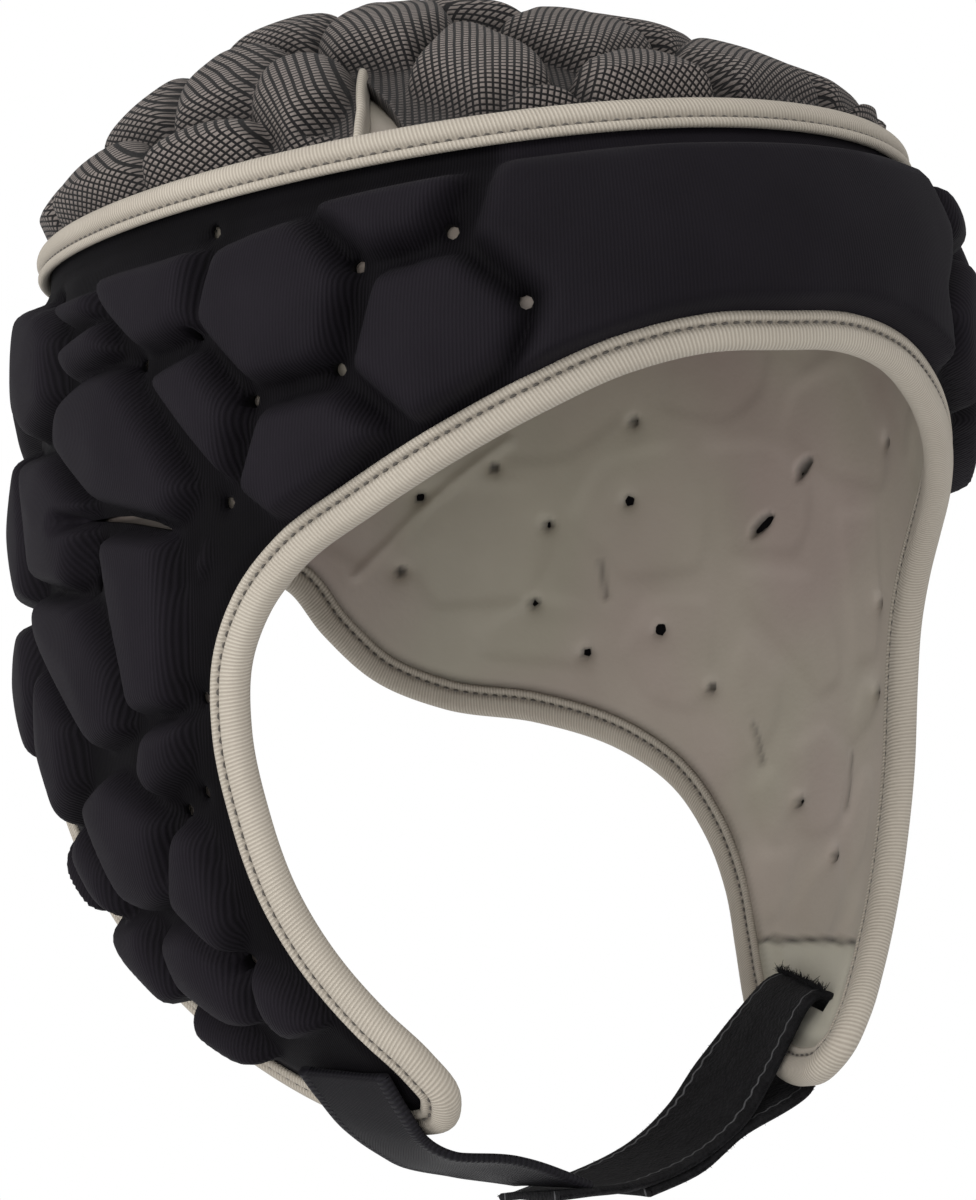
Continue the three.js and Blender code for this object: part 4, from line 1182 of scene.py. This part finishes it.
# The lining under the crown, on a coarser grid: every fourth line around and every fifth row.
crownLiningThickness = 1.4
coarseOut = crownOut[::4, ::5]
crownLiningHeight = noiseField(crownX.shape, 30, 24)[::4, ::5] * 0.3
innerSheet = crownPoints[::4, ::5] + coarseOut * crownLiningHeight[..., None]
outerSheet = innerSheet + coarseOut * crownLiningThickness
plain = np.zeros((2, innerSheet.shape[0] * innerSheet.shape[1]))
crownLining = addMesh(
    "crown_lining_skin", np.stack([innerSheet.reshape(-1, 3), outerSheet.reshape(-1, 3)]),
    shellFaces(gridFaces(innerSheet.shape[0], innerSheet.shape[1], True), plain.shape[1]),
    foam, None, {"patch": plain, "shade": plain},
)
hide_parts("crown_lining")
print("crown lining made")

# The edge binding: a thick folded tape swept along the lower edge. Its profile gives distances
# out of the head and over the edge, with a stitched groove on both faces.
edgeTape = {
    "step": 1.35,
    "grooveOff": -3.1,
    "grooveWidth": 0.42,
    "outerFace": 3.6,
    "innerFace": -0.45,
    "outerStitch": 4.2,
    "innerStitch": -0.85,
}
edgeCurve = splineEdge(edgeTape["step"])
edgeArc = wrapArc(edgeCurve[:, 0])
edgeAngle = toAngle(edgeArc)
edgePoint = bandBase(edgeAngle, edgeCurve[:, 1])
edgeOut = bandNormal(edgeAngle, edgeCurve[:, 1])
edgeAlong = unit(np.roll(edgePoint, -1, 0) - np.roll(edgePoint, 1, 0))
edgeOff = unit(np.cross(edgeAlong, edgeOut))
if edgeOff[0, 2] > 0:
    edgeOff = -edgeOff
edgeProfile = closedSpline([
    (3.2, -5.0), (3.9, -5.3), (4.5, -4.7), (4.5, -3.8), (3.95, -3.1), (4.5, -2.5), (4.75, -1.0),
    (4.4, 0.5), (3.4, 1.6), (1.9, 2.0), (0.2, 1.5), (-0.8, 0.4), (-1.15, -1.2), (-1.05, -2.4),
    (-0.6, -3.1), (-1.1, -3.9), (-0.9, -4.9), (-0.2, -5.0), (-0.1, -3.0), (0.5, 0.0), (2.0, 0.9),
    (2.9, 0.0), (3.2, -3.0),
], 0.45)
onFaces = (edgeProfile[:, 0] > edgeTape["outerFace"]) | (edgeProfile[:, 0] < edgeTape["innerFace"])
# The stitched groove on both faces is darkened with painted shade.
edgeGrooveShade = bell(edgeProfile[:, 1] - edgeTape["grooveOff"], edgeTape["grooveWidth"]) * onFaces
edgeGridPoints = sweptGrid(edgePoint, edgeOut, edgeOff, edgeProfile)

# The ribs close on themselves: a whole number of them goes round.
ribCount = round(len(edgePoint) * edgeTape["step"] / spacing["tape"])
along = np.arange(len(edgePoint)) * (ribCount * spacing["tape"] / len(edgePoint))
across = np.linspace(0, 1, len(edgeProfile) + 1) * 30
edgeUv = np.stack(np.meshgrid(along, across, indexing="ij"), -1)
edgeBinding = sweptPiece(
    "edge_binding_tape", edgeGridPoints, tape, True, edgeUv, edgeGrooveShade)
orient(edgeBinding)
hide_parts("edge_binding")
print("edge binding made", len(edgeBinding.data.polygons))

# The crown binding: a rounded tape along the seam with a stitched groove and a narrow lip below.
seamTape = {
    "around": 500,
    "grooveOff": 2.0,
    "grooveWidth": 0.42,
    "outerFace": 4.2,
    "stitch": 5.05,
}
seamAngles = -np.pi + 2 * np.pi * np.arange(seamTape["around"]) / seamTape["around"]
seamPoint = bandBase(seamAngles, seamZ(seamAngles))
below = bandBase(seamAngles, seamZ(seamAngles) - 4)
above = crownBase(seamAngles, 0.96)
seamAcross = unit(below - above)
seamAlong = unit(np.roll(seamPoint, -1, 0) - np.roll(seamPoint, 1, 0))
seamOut = unit(np.cross(seamAlong, seamAcross))
if seamOut[0, 2] < 0:
    seamOut = -seamOut
seamProfile = closedSpline([
    (3.4, -2.7), (5.0, -3.1), (6.4, -2.3), (6.9, -0.8), (6.5, 0.7), (5.6, 1.5), (4.8, 2.0), (5.3, 2.6),
    (5.2, 3.4), (4.3, 3.9), (3.5, 3.4), (3.3, 0.0),
], 0.4)
# The stitched groove on the outer face is darkened with painted shade.
seamGrooveShade = bell(seamProfile[:, 1] - seamTape["grooveOff"], seamTape["grooveWidth"])
seamGrooveShade = seamGrooveShade * (seamProfile[:, 0] > seamTape["outerFace"])
seamGridPoints = sweptGrid(seamPoint, seamOut, seamAcross, seamProfile)
seamLengths = np.concatenate([[0], np.cumsum(np.linalg.norm(np.diff(seamPoint, axis=0), axis=1))])
seamUv = np.stack(np.meshgrid(seamLengths, np.linspace(0, 22, len(seamProfile) + 1), indexing="ij"), -1)
crownBinding = sweptPiece(
    "crown_binding_tape", seamGridPoints, tape, True, seamUv, seamGrooveShade)
orient(crownBinding)
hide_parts("crown_binding")
print("crown binding made")


# Stitches: small rounded bars laid along a line, each dipping in at its ends. Every bar is a
# row of six-sided rings, closed at both ends by two quads.
def addStitches(name, points, out, material, pitch, length, radius):
    steps = np.linalg.norm(np.diff(points, axis=0), axis=1)
    places = np.concatenate([[0], np.cumsum(steps)])
    middles = np.arange(pitch / 2, places[-1], pitch)

    def at(values, where):
        return np.stack([np.interp(where, places, values[:, k]) for k in range(3)], -1)

    centre = at(points, middles)
    ahead = unit(at(points, middles + 0.4) - at(points, middles - 0.4))
    up = unit(at(out, middles))
    side = unit(np.cross(up, ahead))
    ringAngles = np.linspace(0, 2 * np.pi, 6, endpoint=False)
    stations = np.linspace(-1, 1, 5)
    sections = []
    for t in stations:
        thick = radius * math.sqrt(max(1 - abs(t) ** 3, 0.02))
        middle = centre + ahead * (t * length / 2) - up * (radius * 1.1 * t * t)
        ring = [middle + side * (math.cos(a) * thick) + up * (math.sin(a) * thick) for a in ringAngles]
        sections.append(np.stack(ring, 1))
    grid = np.stack(sections, 1)
    count, rows, columns = grid.shape[:3]
    base = []
    for i in range(rows - 1):
        for k in range(columns):
            m = (k + 1) % columns
            after = i + 1
            base.append([i * columns + k, i * columns + m, after * columns + m, after * columns + k])
    for i, order in ((0, -1), (rows - 1, 1)):
        base.append([i * columns + k for k in (0, 1, 2, 3)][::order])
        base.append([i * columns + k for k in (0, 3, 4, 5)][::order])
    base = np.array(base)
    faces = (base[None] + np.arange(count)[:, None, None] * rows * columns).reshape(-1, 4)
    return addMesh(name, grid, faces, material)


looped = np.arange(len(edgePoint) + 1) % len(edgePoint)
grooveLine = edgePoint + edgeOff * edgeTape["grooveOff"]
outerLine = (grooveLine + edgeOut * edgeTape["outerStitch"])[looped]
innerLine = (grooveLine + edgeOut * edgeTape["innerStitch"])[looped]
seamLooped = np.arange(seamTape["around"] + 1) % seamTape["around"]
seamStitchLine = seamPoint + seamOut * seamTape["stitch"] + seamAcross * seamTape["grooveOff"]
for name, points, out, pitch, length, radius in (
    ("edge_stitches_outer", outerLine, edgeOut[looped], 2.3, 1.5, 0.27),
    ("edge_stitches_inner", innerLine, -edgeOut[looped], 2.3, 1.5, 0.25),
    ("crown_stitches", seamStitchLine[seamLooped], seamOut[seamLooped], 2.4, 1.6, 0.27),
):
    addStitches(name, points, out, beigeThread, pitch, length, radius)
print("stitches made")

# The chin strap runs from the right flap, under the chin, through the left flap and back.
strap = {
    "width": 25.0,
    "thickness": 1.6,
    "gap": 0.5,
    "flapOffset": 6.0,
    "turnOffset": 0.4,
    "angle": 63.0,
    "step": 0.9,
    "bulge": 0.12,
    "slotLift": 1.15,
}

# Places under the chin: shares of the half width, the half length and the flap depth, and how
# far the strap's front side is turned up.
strapStations = [
    (-0.5, 0.445, 1.006, 0.24),
    (-0.33, 0.44, 1.022, 0.3),
    (-0.13, 0.42, 1.048, 0.2),
    (0.06, 0.39, 1.056, 0.1),
    (0.24, 0.365, 1.04, 0.05),
    (0.37, 0.35, 1.012, 0),
    (0.47, 0.335, 0.973, 0),
]
freePoints = np.array([(a * head["halfWidth"], -f * head["halfLength"], -d * head["flapDepth"])
                       for a, f, d, rise in strapStations])
freeSides = unit(np.array([(0, -1, rise) for a, f, d, rise in strapStations], float))


# A smooth open curve through rows of numbers. The first three of each row are its place, whose
# distances space the curve; the rest are carried along.
def openSpline(points, step):
    points = np.asarray(points, float)
    ends = np.concatenate([[2 * points[0] - points[1]], points, [2 * points[-1] - points[-2]]])
    curve = []
    for i in range(1, len(ends) - 2):
        p0, p1, p2, p3 = ends[i - 1], ends[i], ends[i + 1], ends[i + 2]
        d0 = np.linalg.norm(p1[:3] - p0[:3]) ** 0.5
        d1 = np.linalg.norm(p2[:3] - p1[:3]) ** 0.5
        d2 = np.linalg.norm(p3[:3] - p2[:3]) ** 0.5
        m1 = (p2 - p1) + d1 * ((p1 - p0) / d0 - (p2 - p0) / (d0 + d1))
        m2 = (p2 - p1) + d1 * ((p3 - p2) / d2 - (p3 - p1) / (d1 + d2))
        t = np.linspace(0, 1, 24, endpoint=False)[:, None]
        curve.append((2 * t**3 - 3 * t**2 + 1) * p1 + (t**3 - 2 * t**2 + t) * m1
                     + (3 * t**2 - 2 * t**3) * p2 + (t**3 - t**2) * m2)
    curve = np.concatenate(curve + [points[-1:]])
    return evenly(curve, step, False)


# Along a strap's middle line: its places, its sideways directions and its outward directions.
def strapFrames(points, sides, step):
    fine = openSpline(np.concatenate([points, sides], 1), step)
    line = fine[:, :3]
    ahead = unit(np.gradient(line, axis=0))
    side = fine[:, 3:]
    side = unit(side - ahead * np.sum(side * ahead, -1, keepdims=True))
    face = unit(np.cross(side, ahead))
    return line, side, face


# A flat strap with rounded edges: the profile goes round its thickness.
def strapProfile(width, thickness, bulge):
    half = width / 2
    t = thickness / 2
    return closedSpline([
        (t * 0.7, -half + 0.3), (t + bulge, -half + 2.2), (t, -half * 0.5), (t, 0.0), (t, half * 0.5),
        (t + bulge, half - 2.2), (t * 0.7, half - 0.3), (0, half), (-t * 0.7, half - 0.3),
        (-t - bulge, half - 2.2), (-t, half * 0.5), (-t, 0.0), (-t, -half * 0.5),
        (-t - bulge, -half + 2.2), (-t * 0.7, -half + 0.3), (0, -half),
    ], 0.8)


# A strap along the given places, with a slight waviness of its faces.
def addStrap(name, points, sides, material, width, thickness):
    line, side, face = strapFrames(points, sides, strap["step"])
    profile = strapProfile(width, thickness, strap["bulge"])
    grid = sweptGrid(line, face, side, profile)
    wave = noiseField((len(line), len(profile)), 14, 9)[..., None] * 0.18
    grid = grid + face[:, None] * wave
    lengths = np.arange(len(line)) * strap["step"]
    acrossStrap = np.concatenate([profile[:, 1], profile[:1, 1]])
    uv = np.stack(np.meshgrid(lengths, acrossStrap, indexing="ij"), -1)
    piece = sweptPiece(name, grid, material, False, uv)
    orient(piece)
    return piece, line, side


# The base strap lies on the outside of the right flap at these shares of the flap depth.
baseShares = [0.904, 0.93, 0.962]
baseAngle = math.radians(strap["angle"])
baseZ = -head["flapDepth"] * np.array(baseShares)
onFlap = bandBase(baseAngle, baseZ) + bandNormal(baseAngle + 0 * baseZ, baseZ) * strap["flapOffset"]
turn = math.radians(4)
onFlapSide = unit(bandBase(baseAngle - turn, baseZ) - bandBase(baseAngle + turn, baseZ))
basePoints = np.concatenate([onFlap, freePoints[:3]])
baseSides = np.concatenate([onFlapSide, freeSides[:3]])
strapBase, baseLine = addStrap(
    "strap_base_webbing", basePoints, baseSides, webbing,
    strap["width"], strap["thickness"])[:2]
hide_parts("strap_base")

freeLine = unit(np.gradient(freePoints, axis=0))
freeFace = unit(np.cross(freeSides, freeLine))
if freeFace[3, 2] > 0:
    freeFace = -freeFace
under = strap["thickness"] + strap["gap"]
slotAngle = math.radians(-slot["angle"])
slotZ = -slot["strapShare"] * head["flapDepth"]
slotBase = bandBase(slotAngle, slotZ)
slotOut = bandNormal(np.array(slotAngle), np.array(slotZ))
slotSide = unit(bandBase(slotAngle + turn, slotZ) - bandBase(slotAngle - turn, slotZ))
slotLift = np.array([0, 0, strap["slotLift"]])


# A place on the outside of the left flap, below the slot, given by its share of the flap depth.
def outside(share):
    z = np.array(-share * head["flapDepth"])
    offset = strap["flapOffset"] + strap["turnOffset"]
    return bandBase(slotAngle, z) + bandNormal(np.array(slotAngle), z) * offset


chinPoints = [
    freePoints[2] + freeFace[2] * under - [5.0, 0, 0],
    freePoints[2] + freeFace[2] * under,
    freePoints[3], freePoints[4], freePoints[5], freePoints[6],
    slotBase - slotOut * 5 + slotLift - [0, 0, 3],
    slotBase - slotOut * 1 + slotLift,
    slotBase + slotOut * 4.5 + slotLift,
    outside(slot["strapShare"]),
    outside(slot["strapShare"] + 0.022),
    outside(slot["strapShare"] + 0.045),
    outside(slot["strapShare"] + 0.062),
    freePoints[5] + freeFace[5] * under,
    freePoints[4] + freeFace[4] * under,
    freePoints[3] + freeFace[3] * under,
]
chinSides = [freeSides[2], freeSides[2], freeSides[3], freeSides[4], freeSides[5], freeSides[6],
             slotSide, slotSide, slotSide, slotSide, slotSide, slotSide, slotSide,
             freeSides[5], freeSides[4], freeSides[3]]
chinStrap, chinLine, chinSide = addStrap(
    "chin_strap_loop", np.array(chinPoints), np.array(chinSides), pile,
    strap["width"], strap["thickness"])
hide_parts("chin_strap")


# Short stray fibres: tapered four-sided spikes that leave a line of roots at random slants.
def addFuzz(name, roots, out, count, length, material):
    pick = random.random(count) * (len(roots) - 1)
    low = np.minimum(pick.astype(int), len(roots) - 2)
    share = (pick - low)[:, None]
    root = roots[low] * (1 - share) + roots[low + 1] * share
    lean = unit(out[low] + random.normal(0, 0.35, (count, 3)))
    side = unit(np.cross(lean, random.normal(0, 1, (count, 3))))
    other = np.cross(lean, side)
    tall = length * (0.35 + 0.65 * random.random((count, 1)))
    bend = random.normal(0, 0.3, (count, 3)) * tall
    sections = []
    for t, thick in ((0, 0.11), (0.5, 0.09), (1, 0.03)):
        middle = root + lean * (tall * t - 0.3) + bend * t * t
        ring = [middle + direction * thick for direction in (side, other, -side, -other)]
        sections.append(np.stack(ring, 1))
    grid = np.stack(sections, 1)
    base = [[0, 3, 2, 1], [8, 9, 10, 11]]
    for i in (0, 4):
        for k in range(4):
            m = (k + 1) % 4
            base.append([i + k, i + m, i + 4 + m, i + 4 + k])
    faces = (np.array(base)[None] + np.arange(count)[:, None, None] * 12).reshape(-1, 4)
    return addMesh(name, grid, faces, material)


fibres = {"alongEdge": 1100, "edgeLength": 0.9, "onFold": 700, "foldLength": 2.0}
halfWidth = strap["width"] / 2
for name, side in (("strap_fuzz_front", chinSide), ("strap_fuzz_rear", -chinSide)):
    addFuzz(name, chinLine + side * halfWidth, side, fibres["alongEdge"], fibres["edgeLength"],
            pile)
fold = np.linspace(-1, 1, 12)[:, None]
foldRoots = slotBase - slotOut * 2.0 + [0, 0, 1.6] + slotSide * (halfWidth * fold)
foldOut = np.tile(unit(np.array([0, 0, 1.0]) - slotOut * 0.4), (len(fold), 1))
addFuzz("strap_fold_fringe", foldRoots, foldOut, fibres["onFold"], fibres["foldLength"],
        pile)
print("straps made", round(len(baseLine) * strap["step"]), round(len(chinLine) * strap["step"]))

# Camera: the photograph's view of the cap.
azimuth = math.radians(camera["azimuth"])
elevation = math.radians(camera["elevation"])
level = math.cos(elevation)
back = Vector((math.sin(azimuth) * level, -math.cos(azimuth) * level, math.sin(elevation)))
cameraData = bpy.data.cameras.new("view")
cameraObject = bpy.data.objects.new("view", cameraData)
scene.collection.objects.link(cameraObject)
scene.camera = cameraObject
cameraData.lens = camera["lens"]
cameraData.sensor_width = camera["sensor"]
cameraObject.location = Vector(camera["target"]) + back * camera["distance"]
cameraObject.rotation_mode = "QUATERNION"
cameraObject.rotation_quaternion = (-back).to_track_quat("-Z", "Y")
cameraData.clip_start = camera["nearest"]
cameraData.clip_end = camera["farthest"]


# A rectangular soft light in metres and watts, aimed at the middle of the cap.
def addArea(name, place, target, size, power):
    data = bpy.data.lights.new(name, "AREA")
    data.shape = "RECTANGLE"
    data.size = size[0]
    data.size_y = size[1]
    data.energy = power
    light = bpy.data.objects.new(name, data)
    light.location = place
    light.rotation_mode = "QUATERNION"
    light.rotation_quaternion = (Vector(target) - Vector(place)).to_track_quat("-Z", "Y")
    scene.collection.objects.link(light)


capMiddle = (0.0, 0.0, -0.1)
addArea("key_softbox", (-0.5, -0.9, 1.1), capMiddle, (0.8, 0.8), 10.0)
addArea("camera_softbox", (-1.0, -1.1, -0.1), capMiddle, (1.0, 1.0), 12.0)
addArea("left_softbox", (-1.4, 0.1, 0.3), capMiddle, (0.7, 1.2), 17.0)
addArea("right_softbox", (1.3, -0.9, 0.5), capMiddle, (0.8, 1.4), 9.0)
addArea("top_softbox", (0.2, 0.4, 1.3), capMiddle, (1.2, 1.2), 5.0)
print("camera and lights set")

# A plain white floor, well under the cap, as bright as the ground behind it.
floorReach = 8.0
floorHeight = -0.6
floorCorners = [
    (-floorReach, -floorReach, floorHeight),
    (floorReach, -floorReach, floorHeight),
    (floorReach, floorReach, floorHeight),
    (-floorReach, floorReach, floorHeight),
]
floorMesh = bpy.data.meshes.new("floor")
floorMesh.from_pydata(floorCorners, [], [(0, 1, 2, 3)])
floorNodes = Nodes("white_floor")
glow = floorNodes.add("ShaderNodeEmission", None, Color=(1, 1, 1, 1), Strength=1.0)
floorOutput = floorNodes.tree.nodes.new("ShaderNodeOutputMaterial")
floorNodes.tree.links.new(glow, floorOutput.inputs["Surface"])
floorMesh.materials.append(floorNodes.material)
floor = bpy.data.objects.new("floor", floorMesh)
scene.collection.objects.link(floor)

# A white ground for the camera and a softer white light on the cap.
softLight = 0.42
world = bpy.data.worlds.new("white")
scene.world = world
world.use_nodes = True
tree = world.node_tree
tree.nodes.clear()
seen = tree.nodes.new("ShaderNodeBackground")
seen.inputs[0].default_value = (1, 1, 1, 1)
seen.inputs[1].default_value = 1.0
lit = tree.nodes.new("ShaderNodeBackground")
lit.inputs[0].default_value = (1, 1, 1, 1)
lit.inputs[1].default_value = softLight
choose = tree.nodes.new("ShaderNodeMixShader")
path = tree.nodes.new("ShaderNodeLightPath")
ending = tree.nodes.new("ShaderNodeOutputWorld")
tree.links.new(path.outputs["Is Camera Ray"], choose.inputs[0])
tree.links.new(lit.outputs[0], choose.inputs[1])
tree.links.new(seen.outputs[0], choose.inputs[2])
tree.links.new(choose.outputs[0], ending.inputs["Surface"])

scene.view_settings.view_transform = "Standard"
scene.view_settings.look = "None"
print("floor and ground made")
